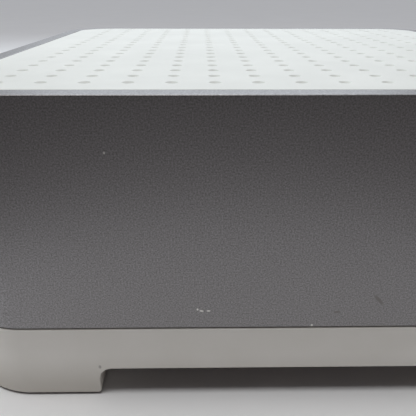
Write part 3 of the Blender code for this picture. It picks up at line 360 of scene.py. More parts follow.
def matt_black_abs():
    """ABS from a coarser tool: near black, and matt enough that the sockets stand out from it."""
    return grained("matt_black_abs", ("17181A", "1E1F21"), 9 * MM, 0.45 * MM, 0.02 * MM, (0.5, 0.68),
                   {"IOR": 1.54})


def glass_filled_nylon():
    """Nylon with glass fibre: black with a faint grey mottle, and a drier sheen than ABS."""
    return grained("glass_filled_nylon", ("121213", "202022"), 0.8 * MM, 0.25 * MM, 0.01 * MM, (0.42, 0.6),
                   {"IOR": 1.53})


def moulded_rubber():
    """Silicone rubber: charcoal, with a dusty matt surface."""
    return grained("moulded_rubber", ("29292A", "343435"), 1.5 * MM, 0.3 * MM, 0.02 * MM, (0.72, 0.9),
                   {"IOR": 1.41})


def epoxy_package():
    """Epoxy moulding compound of chips: dark grey, with a fine pepper of filler."""
    return grained("epoxy_package", ("1A1A1C", "29292B"), 0.5 * MM, 0.2 * MM, 0.008 * MM, (0.5, 0.7),
                   {"IOR": 1.55})


def thermal_gap_pad():
    """Filled silicone pad: chalky blue grey, soft and dull."""
    return grained("thermal_gap_pad", ("76869A", "8C9BAD"), 1.2 * MM, 0.35 * MM, 0.03 * MM, (0.8, 0.95),
                   {"IOR": 1.45})


def cable_jacket():
    """Extruded fluoropolymer jacket: black, smooth and a little waxy."""
    return grained("cable_jacket", ("131314", "1B1B1D"), 3 * MM, 0.5 * MM, 0.01 * MM, (0.3, 0.42),
                   {"IOR": 1.38})


def clear_acrylic():
    """Moulded acrylic: clear, with faint flow ripples that bend what is seen through it."""
    return grained("clear_acrylic", ("F2F6F8", "FAFCFD"), 2 * MM, 0.9 * MM, 0.01 * MM, (0.04, 0.12),
                   {"IOR": 1.49, "Transmission Weight": 1.0})


def uncoated_paper(name, shades, patch):
    """Uncoated paper or card: faintly cloudy, and fully matt."""
    return grained(name, shades, patch, 0.8 * MM, 0.01 * MM, (0.8, 0.95), {"IOR": 1.45})


def tin_plate():
    """Cold rolled steel with a bright tin plate: pale grey, with soft rolling streaks."""
    return drawn_metal("tin_plate", ("BFC2C5", "D2D4D6"), (6 * MM, 0.15 * MM, 0.15 * MM), 2.5 * MM,
                       0.004 * MM, (0.2, 0.38))


def extruded_aluminium():
    """Extruded aluminium, clear anodised: satin silver with die lines along the fins."""
    return drawn_metal("extruded_aluminium", ("B4B8BB", "C3C7CA"), (0.25 * MM, 15 * MM, 0.25 * MM), 6 * MM,
                       0.006 * MM, (0.32, 0.46))


def gold_plate():
    """Gold plate over nickel: warm yellow, with light wiping marks along the contacts."""
    return drawn_metal("gold_plate", ("D2A24A", "E0B666"), (0.12 * MM, 2 * MM, 0.12 * MM), 1 * MM,
                       0.003 * MM, (0.18, 0.32))


def wear_marks(tree, place, marks):
    """How strongly each point of the front wall is marked, from oval (x, z, width, height, slant) marks."""
    strongest = None
    for x, z, width, height, slant in marks:
        local = add(tree, "Mapping", {"Vector": place, "Location": (x, -HALF.y, z),
                                      "Rotation": (0, math.radians(slant), 0),
                                      "Scale": (width, MARK_DEPTH, height)}, vector_type="TEXTURE")
        away = add(tree, "VectorMath", {0: local.outputs["Vector"]}, operation="LENGTH")
        mark = add(tree, "MapRange", {"Value": away.outputs["Value"], "From Min": 0.25, "From Max": 0.55,
                                      "To Min": 1.0, "To Max": 0.0}, interpolation_type="SMOOTHSTEP")
        if strongest is None:
            strongest = mark.outputs["Result"]
        else:
            strongest = add(tree, "Math", {0: strongest, 1: mark.outputs["Result"]},
                            operation="MAXIMUM").outputs["Value"]
    return strongest


def satin_metallic_paint():
    """Satin paint with aluminium flake, sprayed on plastic: mid grey with a fine sandy grain.

    The flake is finer than a pixel, so it is drawn as coarse as the sandy grain that shows. The front is
    a little worn: chips show pale primer, and scuffs are dull and darker.
    """
    flake = 0.3 * MM
    orange_peel = 1.8 * MM
    material, tree, shader, place = start_material("satin_metallic_paint", {"Metallic": 1.0})
    grain = add(tree, "TexNoise", {"Vector": place, "Scale": 1 / flake, "Detail": 1.0, "Roughness": 0.7})
    sand = add(tree, "ValToRGB", {"Fac": grain.outputs["Fac"]}, stops=[(0.3, "7E7C7D"), (0.7, "A5A3A4")])
    scuffed = add(tree, "Mix", {"Factor": wear_marks(tree, place, SCUFFS), MIX_A: sand.outputs["Color"],
                                MIX_B: colour("84817F")}, data_type="RGBA")
    chipped = add(tree, "Mix", {"Factor": wear_marks(tree, place, CHIPS),
                                MIX_A: scuffed.outputs[MIX_RESULT], MIX_B: colour("E3E2DE")},
                  data_type="RGBA")
    waves = add(tree, "TexNoise", {"Vector": place, "Scale": 1 / orange_peel, "Detail": 1.0})
    gloss = add(tree, "MapRange", {"Value": waves.outputs["Fac"], "From Min": 0.3, "From Max": 0.7,
                                   "To Min": 0.39, "To Max": 0.43})
    peel = add(tree, "Bump", {"Height": waves.outputs["Fac"], "Strength": 1.0, "Distance": 0.001 * MM})
    bump = add(tree, "Bump", {"Height": grain.outputs["Fac"], "Strength": 1.0, "Distance": 0.004 * MM,
                              "Normal": peel.outputs["Normal"]})
    tree.links.new(chipped.outputs[MIX_RESULT], shader.inputs["Base Color"])
    tree.links.new(gloss.outputs["Result"], shader.inputs["Roughness"])
    tree.links.new(bump.outputs["Normal"], shader.inputs["Normal"])
    return material


def solder_mask():
    """Glass epoxy board under green solder mask: tracks show as paler lines, over a faint weave."""
    track_group = 3.2 * MM
    tracks_in_group = 9.0
    thread = 0.6 * MM
    material, tree, shader, place = start_material("solder_mask", {"IOR": 1.52})
    tracks = add(tree, "TexVoronoi", {"Vector": place, "Scale": 1 / track_group, "Randomness": 0.7},
                 distance="CHEBYCHEV")
    lines = add(tree, "Math", {0: tracks.outputs["Distance"], 1: tracks_in_group}, operation="MULTIPLY")
    pattern = add(tree, "Math", {0: lines.outputs["Value"]}, operation="FRACT")
    tint = add(tree, "ValToRGB", {"Fac": pattern.outputs["Value"]},
               stops=[(0.45, "11482C"), (0.55, "1B6640")])
    weave = add(tree, "TexNoise", {"Vector": place, "Scale": 1 / thread, "Detail": 1.0})
    gloss = add(tree, "MapRange", {"Value": weave.outputs["Fac"], "To Min": 0.28, "To Max": 0.44})
    bump = add(tree, "Bump", {"Height": pattern.outputs["Value"], "Strength": 1.0, "Distance": 0.02 * MM})
    tree.links.new(tint.outputs["Color"], shader.inputs["Base Color"])
    tree.links.new(gloss.outputs["Result"], shader.inputs["Roughness"])
    tree.links.new(bump.outputs["Normal"], shader.inputs["Normal"])
    return material


# Mesh helpers

def of_kind(kind, geometry):
    """The vertices or edges among what an operator gives back."""
    return [item for item in geometry if isinstance(item, kind)]


def stack(half, radius, profile, ring=False):
    """Solid of rounded rectangles from (inset, height) points: capped at both ends, or closed as a ring.

    It starts from a circle whose quarters are moved apart, which leaves flat sides between them.
    """
    shape = bmesh.new()
    half_step = math.pi / (4 * CORNER_STEPS)
    middle = Vector((half[0] - radius, half[1] - radius))
    verts = bmesh.ops.create_circle(shape, segments=4 * CORNER_STEPS, radius=radius,
                                    matrix=Matrix.Rotation(half_step, 4, "Z"))["verts"]
    for vert in verts:
        vert.co.xy += quarter_centre(vert, middle)
    edges = list(shape.edges)
    for number, (inset, height) in enumerate(profile + profile[:1] if ring else profile):
        if number:
            grown = bmesh.ops.extrude_edge_only(shape, edges=edges)["geom"]
            verts = of_kind(bmesh.types.BMVert, grown)
            edges = [edge for edge in of_kind(bmesh.types.BMEdge, grown) if set(edge.verts) <= set(verts)]
        for vert in verts:
            centre = quarter_centre(vert, middle)
            outwards = (vert.co.xy - centre).normalized()
            vert.co = (*(centre + outwards * (radius - inset) / math.cos(half_step)), height)
        if not ring and number in (0, len(profile) - 1):
            bmesh.ops.contextual_create(shape, geom=edges)
    bmesh.ops.remove_doubles(shape, verts=shape.verts, dist=MERGE)
    return shape


def quarter_centre(vert, middle):
    """Centre of the corner arc that a vertex of a rounded rectangle lies on."""
    return Vector((math.copysign(middle.x, vert.co.x), math.copysign(middle.y, vert.co.y)))


def quarter(inset, height, radius, start, end):
    """Points of a round edge in a (inset, height) profile, from its centre."""
    angles = [start + (end - start) * step / ROUND_STEPS for step in range(ROUND_STEPS + 1)]
    return [(inset + radius * math.cos(math.radians(a)), height + radius * math.sin(math.radians(a)))
            for a in angles]


def turned(profile, steps=TURN_STEPS):
    """Solid turned about Z from (radius, height) points that start and end on the axis."""
    shape = bmesh.new()
    verts = [shape.verts.new((radius, 0, height)) for radius, height in profile]
    edges = [shape.edges.new(pair) for pair in zip(verts, verts[1:])]
    bmesh.ops.spin(shape, geom=verts + edges, cent=(0, 0, 0), axis=(0, 0, 1), angle=math.tau, steps=steps,
                   use_merge=True)
    bmesh.ops.remove_doubles(shape, verts=shape.verts, dist=MERGE)
    return shape


def pillar(radius, low, high, place):
    """Upright cylinder between two heights."""
    return moved(turned([(0, low), (radius, low), (radius, high), (0, high)]), (place.x, place.y, 0))


def block(low, high):
    """Solid block between two corners."""
    shape = bmesh.new()
    low, high = Vector(low), Vector(high)
    bmesh.ops.create_cube(shape, size=1)
    bmesh.ops.scale(shape, vec=high - low, verts=shape.verts)
    bmesh.ops.translate(shape, vec=(low + high) / 2, verts=shape.verts)
    return shape


def moved(shape, place, outwards=False):
    """Shape moved to a place. Outwards turns its +Z to the rear, where the sockets face."""
    turn = Matrix.Rotation(-math.pi / 2, 4, "X") if outwards else Matrix.Identity(4)
    bmesh.ops.transform(shape, matrix=Matrix.Translation(place) @ turn, verts=shape.verts)
    return shape


def copies(shape, places):
    """Copies of the whole shape, moved by each place. The first shape itself goes to the first place."""
    first = list(shape.verts) + list(shape.edges) + list(shape.faces)
    for place in places[1:]:
        made = bmesh.ops.duplicate(shape, geom=first)["geom"]
        bmesh.ops.translate(shape, vec=place, verts=of_kind(bmesh.types.BMVert, made))
    bmesh.ops.translate(shape, vec=places[0], verts=of_kind(bmesh.types.BMVert, first))
    return shape


def solid(name, shape):
    """Object of a finished shape, with its faces pointing outwards."""
    bmesh.ops.recalc_face_normals(shape, faces=shape.faces)
    mesh = bpy.data.meshes.new(name)
    shape.to_mesh(mesh)
    shape.free()
    made = bpy.data.objects.new(name, mesh)
    bpy.context.scene.collection.objects.link(made)
    return made


def combine(piece, operation, *shapes):
    """Joins shapes to a piece or cuts them from it, and keeps the result as its mesh."""
    tools = [solid(piece.name + "_tool", shape) for shape in shapes]
    for tool in tools:
        step = piece.modifiers.new(operation, "BOOLEAN")
        step.operation = operation
        step.solver = "EXACT"
        step.object = tool
    graph = bpy.context.evaluated_depsgraph_get()
    done = bpy.data.meshes.new_from_object(piece.evaluated_get(graph))
    piece.modifiers.clear()
    piece.data = done
    for tool in tools:
        bpy.data.objects.remove(tool)


def soften(piece, width, chosen):
    """Rounds the sharp edges of a piece whose two ends are both chosen by their place."""
    shape = bmesh.new()
    shape.from_mesh(piece.data)
    bmesh.ops.remove_doubles(shape, verts=shape.verts, dist=MERGE)
    sharp = [edge for edge in shape.edges if edge.calc_face_angle(0) > SHARP_ANGLE
             and all(chosen(vert.co) for vert in edge.verts)]
    bmesh.ops.bevel(shape, geom=sharp, offset=width, offset_type="OFFSET", segments=ROUND_STEPS, profile=0.5,
                    affect="EDGES", material=-1, clamp_overlap=True)
    shape.to_mesh(piece.data)
    shape.free()


def dress(piece, finish, node, body="housing"):
    """Gives a piece its finish and shading, hangs it on its body's empty, and hides the CAD node it replaces.
    """
    piece.data.materials.clear()
    piece.data.materials.append(finish)
    piece.data.shade_smooth()
    piece.data.set_sharp_from_angle(angle=SHARP_ANGLE)
    flats = piece.modifiers.new("keep_flats", "WEIGHTED_NORMAL")
    flats.keep_sharp = True
    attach(piece, body)
    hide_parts(node)


# Shell

def make_lid(finish):
    """White lid: a flat plate with a fine round edge, a skirt with hooks below, and the vent grid."""
    half = LID_HIGH.xy
    radius = CORNER_RADIUS - (HALF.x - half.x)
    under = TOP - LID_THICKNESS
    inner = SKIRT_INSET + SKIRT_WALL
    profile = quarter(LID_EDGE, TOP - LID_EDGE, LID_EDGE, 90, 180)
    profile += [(0, under), (SKIRT_INSET, under), (SKIRT_INSET, LID_LOW.z), (inner, LID_LOW.z),
                (inner, under)]
    lid = solid("vented_lid", stack(half, radius, profile))
    combine(lid, "UNION", *lid_hooks(half))
    combine(lid, "DIFFERENCE", vent_pins(under))
    dress(lid, finish, "top_lid")


def lid_hooks(half):
    """Hooks on the skirt's outside, two on each side."""
    length, proud, height = HOOK_SIZE
    face = half.y - SKIRT_INSET
    low = LID_LOW.z + HOOK_LIFT
    for turn in range(4):
        hook = block((-length / 2, face - OVERLAP, low), (length / 2, face + proud, low + height))
        copies(hook, [Vector((-HOOK_SPACING / 2, 0, 0)), Vector((HOOK_SPACING / 2, 0, 0))])
        spin = Matrix.Rotation(turn * math.pi / 2, 3, "Z")
        bmesh.ops.rotate(hook, cent=(0, 0, 0), matrix=spin, verts=hook.verts)
        yield hook


def vent_pins(under):
    """Cutter for the vents: pins with a flared head, in columns and rows."""
    profile = [(0, under - CUT_MARGIN), (VENT_RADIUS, under - CUT_MARGIN),
               (VENT_RADIUS, TOP - VENT_MOUTH_DEPTH), (VENT_MOUTH, TOP),
               (VENT_MOUTH, TOP + CUT_MARGIN), (0, TOP + CUT_MARGIN)]
    columns = [(number - (VENT_COLUMNS - 1) / 2) * VENT_COLUMN_PITCH for number in range(VENT_COLUMNS)]
    rows = [(number - (VENT_ROWS - 1) / 2) * VENT_ROW_PITCH for number in range(VENT_ROWS)]
    places = [Vector((x, y, 0)) for y in rows for x in columns]
    return copies(turned(profile, VENT_SIDES), places)


def make_sleeve(finish):
    """Grey sleeve: a tube with a flat rim and a ledge inside, screw bosses and a window for the sockets."""
    low, high = SLEEVE_LOW.z, SLEEVE_HIGH.z
    ledge = RIM_WIDTH + LEDGE_WIDTH
    ledge_top = high - LEDGE_TOP_BELOW_RIM
    profile = quarter(SEAM_EDGE, low + SEAM_EDGE, SEAM_EDGE, 270, 180)
    profile += quarter(RIM_EDGE, high - RIM_EDGE, RIM_EDGE, 180, 90)
    profile += [(RIM_WIDTH - LID_EDGE / 2, high), (RIM_WIDTH, high - LID_EDGE / 2), (RIM_WIDTH, ledge_top),
                (ledge, ledge_top), (ledge, ledge_top - LEDGE_THICKNESS),
                (SLEEVE_WALL, ledge_top - LEDGE_THICKNESS), (SLEEVE_WALL, low)]
    sleeve = solid("painted_sleeve", stack(HALF, CORNER_RADIUS, profile, ring=True))
    boss_top = low + SLEEVE_BOSS_HEIGHT
    combine(sleeve, "UNION", *[pillar(SLEEVE_BOSS_RADIUS, low, boss_top, place) for place in SCREW_PLACES],
            *boss_ribs(low + LIP_HEIGHT + PANEL_GAP, boss_top - OVERLAP))
    pilots = [pillar(CASE_SCREW_PILOT, low - CUT_MARGIN, low + CASE_SCREW_PILOT_DEPTH, place)
              for place in SCREW_PLACES]
    window = (PANEL_HALF[0] - PANEL_LIP + PANEL_GAP, PANEL_HALF[1] - PANEL_LIP + PANEL_GAP)
    flare = [(0, -SLEEVE_WALL - CUT_MARGIN), (0, -PANEL_EDGE), (-PANEL_EDGE - CUT_MARGIN, CUT_MARGIN)]
    opening = moved(stack(window, PANEL_CORNER, flare), (0, HALF.y, AXIS), outwards=True)
    combine(sleeve, "DIFFERENCE", opening, *pilots)
    dress(sleeve, finish, "side_sleeve")


def boss_ribs(low, high):
    """Ribs that tie each screw boss to the two walls beside it."""
    half_rib = BOSS_RIB / 2
    wall = HALF - Vector((SLEEVE_WALL - OVERLAP, SLEEVE_WALL - OVERLAP))
    for sign_x, sign_y in CORNERS.values():
        for start, end in (((SCREW.x, SCREW.y - half_rib), (wall.x, SCREW.y + half_rib)),
                           ((SCREW.x - half_rib, SCREW.y), (SCREW.x + half_rib, wall.y))):
            yield block((start[0] * sign_x, start[1] * sign_y, low), (end[0] * sign_x, end[1] * sign_y, high))


def arch_cutter(length):
    """Cutter for the arches between the feet at both ends of the base, along Y."""
    shape = bmesh.new()
    half = HALF.x - FOOT_LENGTH
    toe, top = ARCH_TOE_RADIUS, ARCH_TOP_RADIUS
    bottom = FOOT_BOTTOM - CUT_MARGIN
    left = [(-half - toe, bottom)]
    left += quarter(-half - toe, FOOT_BOTTOM + toe, toe, -90, 0)
    left += quarter(-half + top, ARCH_TOP - top, top, 180, 90)
    outline = left + [(-x, z) for x, z in reversed(left)]
    verts = [shape.verts.new((x, -length / 2, z)) for x, z in outline]
    face = shape.faces.new(verts)
    swept = bmesh.ops.extrude_face_region(shape, geom=[face])["geom"]
    bmesh.ops.translate(shape, vec=(0, length, 0), verts=of_kind(bmesh.types.BMVert, swept))
    return shape


def make_base(finish, underside):
    """White base: a tray on four feet with an arch on each side, air slots and a lip for the sleeve."""
    lip_inner = LIP_INSET + LIP_WALL
    lip_top = BASE_TOP + LIP_HEIGHT
    profile = [(0, FOOT_BOTTOM), (0, BASE_TOP), (LIP_INSET, BASE_TOP), (LIP_INSET, lip_top),
               (lip_inner, lip_top), (lip_inner, BASE_FLOOR_TOP)]
    base = solid("footed_base", stack(HALF, CORNER_RADIUS, profile))
    length = 2 * HALF.y + 2 * CUT_MARGIN
    across = arch_cutter(length)
    bmesh.ops.rotate(across, cent=(0, 0, 0), matrix=Matrix.Rotation(math.pi / 2, 3, "Z"), verts=across.verts)
    combine(base, "DIFFERENCE", arch_cutter(length), across)
    soften(base, BASE_EDGE, on_base_outline)
    standoff_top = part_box("base_tray")[1].z
    standoffs = [middle_of("board_screw_" + corner) for corner in CORNERS]
    root = BASE_FLOOR_TOP - OVERLAP
    combine(base, "UNION", *[pillar(BOSS_RADIUS, root, BASE_TOP, place) for place in SCREW_PLACES],
            *[pillar(STANDOFF_RADIUS, root, standoff_top, place) for place in standoffs])
    panel_gap = block((-PANEL_HALF[0] - PANEL_GAP, HALF.y - lip_inner - CUT_MARGIN, BASE_TOP + RUNNING_GAP),
                      (PANEL_HALF[0] + PANEL_GAP, HALF.y, lip_top + CUT_MARGIN))
    combine(base, "DIFFERENCE", intake_slots(), panel_gap, *foot_bores(),
            *[pillar(STANDOFF_PILOT, standoff_top - STANDOFF_PILOT_DEPTH, standoff_top + CUT_MARGIN, place)
              for place in standoffs])
    dress(base, finish, "base_tray")
    # Downward faces below the floor take the dark finish: painted shade for the shadow under the base
    base.data.materials.append(underside)
    for face in base.data.polygons:
        if face.normal.z < -DOWNWARD and face.center.z < BASE_FLOOR_TOP:
            face.material_index = 1


def on_base_outline(co):
    """True on the base's outer walls, its rounded corners and the underside of its feet."""
    away = Vector((abs(co.x), abs(co.y))) - HALF + Vector((CORNER_RADIUS, CORNER_RADIUS))
    on_wall = max(away) > CORNER_RADIUS - MERGE
    on_corner = min(away) > 0 and abs(away.length - CORNER_RADIUS) < ARC_TOLERANCE
    return co.z < BASE_TOP + MERGE and (on_wall or on_corner or co.z < FOOT_BOTTOM + MERGE)


def intake_slots():
    """Cutter for the air slots in the base's floor: round ended, in two rows."""
    half = (INTAKE_WIDTH / 2, INTAKE_LENGTH / 2)
    reach = CUT_MARGIN + INTAKE_EDGE
    profile = [(-reach, ARCH_TOP - CUT_MARGIN), (0, ARCH_TOP + INTAKE_EDGE), (0, BASE_FLOOR_TOP + CUT_MARGIN)]
    places = [Vector(((number - (INTAKE_COUNT - 1) / 2) * INTAKE_PITCH, row * INTAKE_ROW_SPACING / 2, 0))
              for row in (-1, 1) for number in range(INTAKE_COUNT)]
    return copies(stack(half, INTAKE_WIDTH / 2 - MERGE, profile), places)


def foot_bores():
    """Cutters for the pad's recess, the screw head's pocket and the screw hole in each foot."""
    high, low = BASE_TOP + CUT_MARGIN, FOOT_BOTTOM - CUT_MARGIN
    profile = [(0, high), (CASE_SCREW_HOLE, high), (CASE_SCREW_HOLE, SCREW_POCKET_TOP),
               (CASE_SCREW_POCKET, SCREW_POCKET_TOP), (CASE_SCREW_POCKET, PAD_POCKET_TOP),
               (PAD_POCKET, PAD_POCKET_TOP), (PAD_POCKET, low), (0, low)]
    for place in SCREW_PLACES:
        yield moved(turned(profile), (place.x, place.y, 0))


def make_pads(finish):
    """Rubber pad under each foot: round edged, with a ring groove in its underside."""
    for corner, place in zip(CORNERS, SCREW_PLACES):
        low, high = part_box("foot_pad_" + corner)
        radius = (high.x - low.x) / 2
        inner, outer = PAD_GROOVE
        profile = [(0, high.z), (radius, high.z)]
        profile += quarter(radius - PAD_EDGE, PAD_EDGE, PAD_EDGE, 0, -90)
        profile += [(outer, 0), (outer - PAD_GROOVE_DEPTH, PAD_GROOVE_DEPTH),
                    (inner + PAD_GROOVE_DEPTH, PAD_GROOVE_DEPTH), (inner, 0), (0, 0)]
        pad = solid("rubber_foot_" + corner, moved(turned(profile), (place.x, place.y, 0)))
        dress(pad, finish, "foot_pad_" + corner)


# Socket row

def middle_of(node):
    """Middle of a CAD node's box."""
    low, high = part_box(node)
    return (low + high) / 2


def flared_hole(radius, x):
    """Cutter for a round hole in the panel's face, flared at its mouth."""
    reach = HOLE_FLARE + CUT_MARGIN
    deep = PANEL_HIGH.y - PANEL_LOW.y + CUT_MARGIN
    profile = [(0, -deep), (radius, -deep), (radius, -HOLE_FLARE), (radius + reach, CUT_MARGIN),
               (0, CUT_MARGIN)]
    return moved(turned(profile), (x, PANEL_HIGH.y, AXIS), outwards=True)


def make_panel(finish):
    """Black panel in the sleeve's window, on a flange, with a flared hole for each socket and button."""
    depth = PANEL_HIGH.y - PANEL_LOW.y
    profile = [(0, 0), (0, PANEL_FLANGE), (PANEL_LIP, PANEL_FLANGE)]
    profile += quarter(PANEL_LIP + PANEL_EDGE, depth - PANEL_EDGE, PANEL_EDGE, 180, 90)
    panel = solid("socket_panel", moved(stack(PANEL_HALF, PANEL_CORNER + PANEL_LIP, profile),
                                        (0, PANEL_LOW.y, AXIS), outwards=True))
    low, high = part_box("ethernet_shield")
    half = ((high.x - low.x) / 2 + PANEL_GAP, (high.z - low.z) / 2 + PANEL_GAP)
    reach = HOLE_FLARE + CUT_MARGIN
    flare = [(0, -depth - CUT_MARGIN), (0, -HOLE_FLARE), (-reach, CUT_MARGIN)]
    centre = (low + high) / 2
    jack_hole = moved(stack(half, PANEL_GAP, flare), (centre.x, PANEL_HIGH.y, centre.z), outwards=True)
    status_radius = (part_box("status_light_pipe")[1].z - AXIS) + RUNNING_GAP
    reset_radius = status_radius - 2 * RUNNING_GAP
    combine(panel, "DIFFERENCE", jack_hole,
            flared_hole(POWER_NOSE + PANEL_GAP, middle_of("power_socket").x),
            flared_hole(SYNC_RADIUS + RUNNING_GAP, middle_of("sync_button").x),
            flared_hole(status_radius, middle_of("status_light_pipe").x),
            flared_hole(reset_radius, middle_of("reset_button").x))
    dress(panel, finish, "port_panel")


def port_middles():
    """Middles of the two network sockets, along X."""
    middle = middle_of("ethernet_housing").x
    return [middle - PORT_SPACING / 2, middle + PORT_SPACING / 2]


def make_jack_body(finish):
    """Housing of the two network sockets: each mouth has a stepped slot for the plug's latch."""
    low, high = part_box("ethernet_housing")
    body = solid("network_jack_body", block(low, high))
    back, front = high.y - PORT_DEPTH, high.y + CUT_MARGIN
    latch_low = low.z + PORT_FLOOR
    opening_low = latch_low + PORT_LATCH[1]
    for x in port_middles():
        rows = ((PORT_OPENING[0], opening_low, opening_low + PORT_OPENING[1]),
                (PORT_LATCH[0], latch_low, opening_low + OVERLAP),
                (PORT_LATCH_STEP[0], latch_low - PORT_LATCH_STEP[1], latch_low + OVERLAP))
        combine(body, "DIFFERENCE", *[block((x - width / 2, back, bottom), (x + width / 2, front, top))
                                      for width, bottom, top in rows])
    soften(body, PORT_EDGE, lambda co: co.y > high.y - MERGE)
    dress(body, finish, "ethernet_housing")


def make_jack_screen(finish):
    """Tinned steel screen folded over the jack, open below and in front, with round folds."""
    low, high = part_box("ethernet_shield")
    sheet = Vector((SCREEN_THICKNESS, SCREEN_THICKNESS, CUT_MARGIN))
    screen = solid("network_jack_screen", block(low, high))
    soften(screen, SCREEN_EDGE, lambda co: co.y < high.y - MERGE and co.z > low.z + MERGE)
    hollow = block(low + sheet, (high.x - SCREEN_THICKNESS, high.y + CUT_MARGIN, high.z - SCREEN_THICKNESS))
    bmesh.ops.translate(hollow, vec=(0, 0, -2 * CUT_MARGIN),
                        verts=[vert for vert in hollow.verts if vert.co.z < (low.z + high.z) / 2])
    combine(screen, "DIFFERENCE", hollow)
    dress(screen, finish, "ethernet_shield")


def spring_wire(shape, route):
    """Round wire through the points of a route that runs along Y."""
    ring = bmesh.ops.create_circle(shape, segments=CONTACT_SIDES, radius=CONTACT_RADIUS, cap_ends=True,
                                   matrix=Matrix.Translation(route[0]) @ Matrix.Rotation(math.pi / 2, 4, "X"))
    face = ring["verts"][0].link_faces[0]
    for start, end in zip(route, route[1:]):
        grown = bmesh.ops.extrude_face_region(shape, geom=[face])["geom"]
        bmesh.ops.delete(shape, geom=[face], context="FACES_ONLY")
        bmesh.ops.translate(shape, vec=Vector(end) - Vector(start), verts=of_kind(bmesh.types.BMVert, grown))
        face = of_kind(bmesh.types.BMFace, grown)[0]
    bmesh.ops.contextual_create(shape, geom=[edge for edge in shape.edges if edge.is_boundary])


def make_jack_springs(finish):
    """Gold spring contacts of each socket: a bar at the back, and eight wires that slope to the mouth."""
    for number, x in enumerate(port_middles(), 1):
        node = "ethernet_contacts_%d" % number
        low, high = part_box(node)
        springs = solid("network_jack_springs_%d" % number,
                        block(low, (high.x, low.y + CONTACT_BAR, high.z)))
        drop = low.z + CONTACT_RADIUS
        rise = high.z - CONTACT_RADIUS
        start = low.y + CONTACT_BAR / 2
        shoulder, toe = [[start + share * (high.y - start) for share in shares]
                         for shares in (CONTACT_SHOULDER, CONTACT_TOE)]
        route = [(start, rise), (shoulder[0], rise), (shoulder[1], rise - CONTACT_SHOULDER_DROP),
                 (toe[0], drop + CONTACT_TOE_RISE), (toe[1], drop), (high.y, drop + CONTACT_TIP_LIFT)]
        wires = []
        for contact in range(CONTACT_COUNT):
            wire_x = x + (contact - (CONTACT_COUNT - 1) / 2) * CONTACT_PITCH
            wire = bmesh.new()
            spring_wire(wire, [(wire_x, y, z) for y, z in route])
            wires.append(wire)
        combine(springs, "UNION", *wires)
        dress(springs, finish, node)


def make_power_inlet(finish):
    """Barrel power inlet: a chamfered block on the board, and a round nose with a rolled lip."""
    low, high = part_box("power_socket")
    x = (low.x + high.x) / 2
    block_front = high.y - POWER_NOSE_LENGTH
    inlet = solid("power_inlet", block(low, (high.x, block_front, high.z)))
    soften(inlet, POWER_EDGE, lambda co: True)
    lip = (POWER_NOSE - POWER_BORE) / 4
    nose = [(0, -POWER_NOSE_LENGTH - OVERLAP), (POWER_NOSE, -POWER_NOSE_LENGTH - OVERLAP)]
    nose += quarter(POWER_NOSE - lip, -lip, lip, 0, 90)
    nose += [(0, 0)]
    bore = [(0, -POWER_BORE_DEPTH), (POWER_BORE, -POWER_BORE_DEPTH), (POWER_BORE, -lip),
            (POWER_BORE + lip + CUT_MARGIN, CUT_MARGIN), (0, CUT_MARGIN)]
    place = (x, high.y, AXIS)
    combine(inlet, "UNION", moved(turned(nose), place, outwards=True))
    combine(inlet, "DIFFERENCE", moved(turned(bore), place, outwards=True))
    dress(inlet, finish, "power_socket")


def make_power_pin(finish):
    """Centre pin of the power inlet, with a rounded tip."""
    low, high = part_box("power_pin")
    radius = (high.x - low.x) / 2
    length = high.y - low.y
    profile = [(0, 0), (radius, 0)] + quarter(0, length - radius, radius, 0, 90)
    pin = solid("power_inlet_pin", moved(turned(profile), ((low.x + high.x) / 2, low.y, AXIS), outwards=True))
    dress(pin, finish, "power_pin")


def make_sync_cap(finish):
    """Sync button: a dished cap with a round edge, and the flange and stem behind the panel."""
    low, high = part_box("sync_button")
    front = high.y - low.y
    flange_back = SYNC_STEM
    flange_front = flange_back + SYNC_FLANGE
    profile = [(0, 0), (SYNC_STEM_RADIUS, 0), (SYNC_STEM_RADIUS, flange_back),
               (SYNC_FLANGE_RADIUS, flange_back), (SYNC_FLANGE_RADIUS, flange_front),
               (SYNC_RADIUS, flange_front)]
    profile += quarter(SYNC_RADIUS - SYNC_EDGE, front - SYNC_EDGE, SYNC_EDGE, 0, 90)
    dish = SYNC_RADIUS - 2 * SYNC_EDGE
    profile += [(dish * math.cos(angle), front - SYNC_DISH * math.sin(angle))
                for angle in map(math.radians, SYNC_DISH_ANGLES)]
    profile += [(0, front - SYNC_DISH)]
    cap = solid("sync_cap", moved(turned(profile), ((low.x + high.x) / 2, low.y, AXIS), outwards=True))
    dress(cap, finish, "sync_button", "sync_button")


def make_status_lens(finish):
    """Light pipe of the status light: a clear rod with a domed face."""
    low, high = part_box("status_light_pipe")
    radius = (high.x - low.x) / 2
    length = high.y - low.y
    profile = [(0, 0), (radius, 0), (radius, length - LENS_DOME)]
    profile += [(radius * math.cos(angle), length - LENS_DOME + LENS_DOME * math.sin(angle))
                for angle in map(math.radians, LENS_DOME_ANGLES)]
    profile += [(0, length)]
    lens = solid("status_lens", moved(turned(profile), ((low.x + high.x) / 2, low.y, AXIS), outwards=True))
    dress(lens, finish, "status_light_pipe")


# Stage

def bent_card(name, low, high, codes):
    """Card bent round the front between two heights, which only lights and reflects."""
    shape = bmesh.new()
    ends = [shape.verts.new((0, -CARD_RADIUS, height)) for height in (low, high)]
    edge = shape.edges.new(ends)
    bmesh.ops.rotate(shape, cent=(0, 0, 0), matrix=Matrix.Rotation(-CARD_ANGLE / 2, 3, "Z"), verts=ends)
    bmesh.ops.spin(shape, geom=[*ends, edge], cent=(0, 0, 0), axis=(0, 0, 1), angle=CARD_ANGLE,
                   steps=TURN_STEPS)
    card = solid(name, shape)
    card.data.materials.append(uncoated_paper(name, codes, 40 * MM))
    card.visible_camera = False
    card.visible_shadow = False


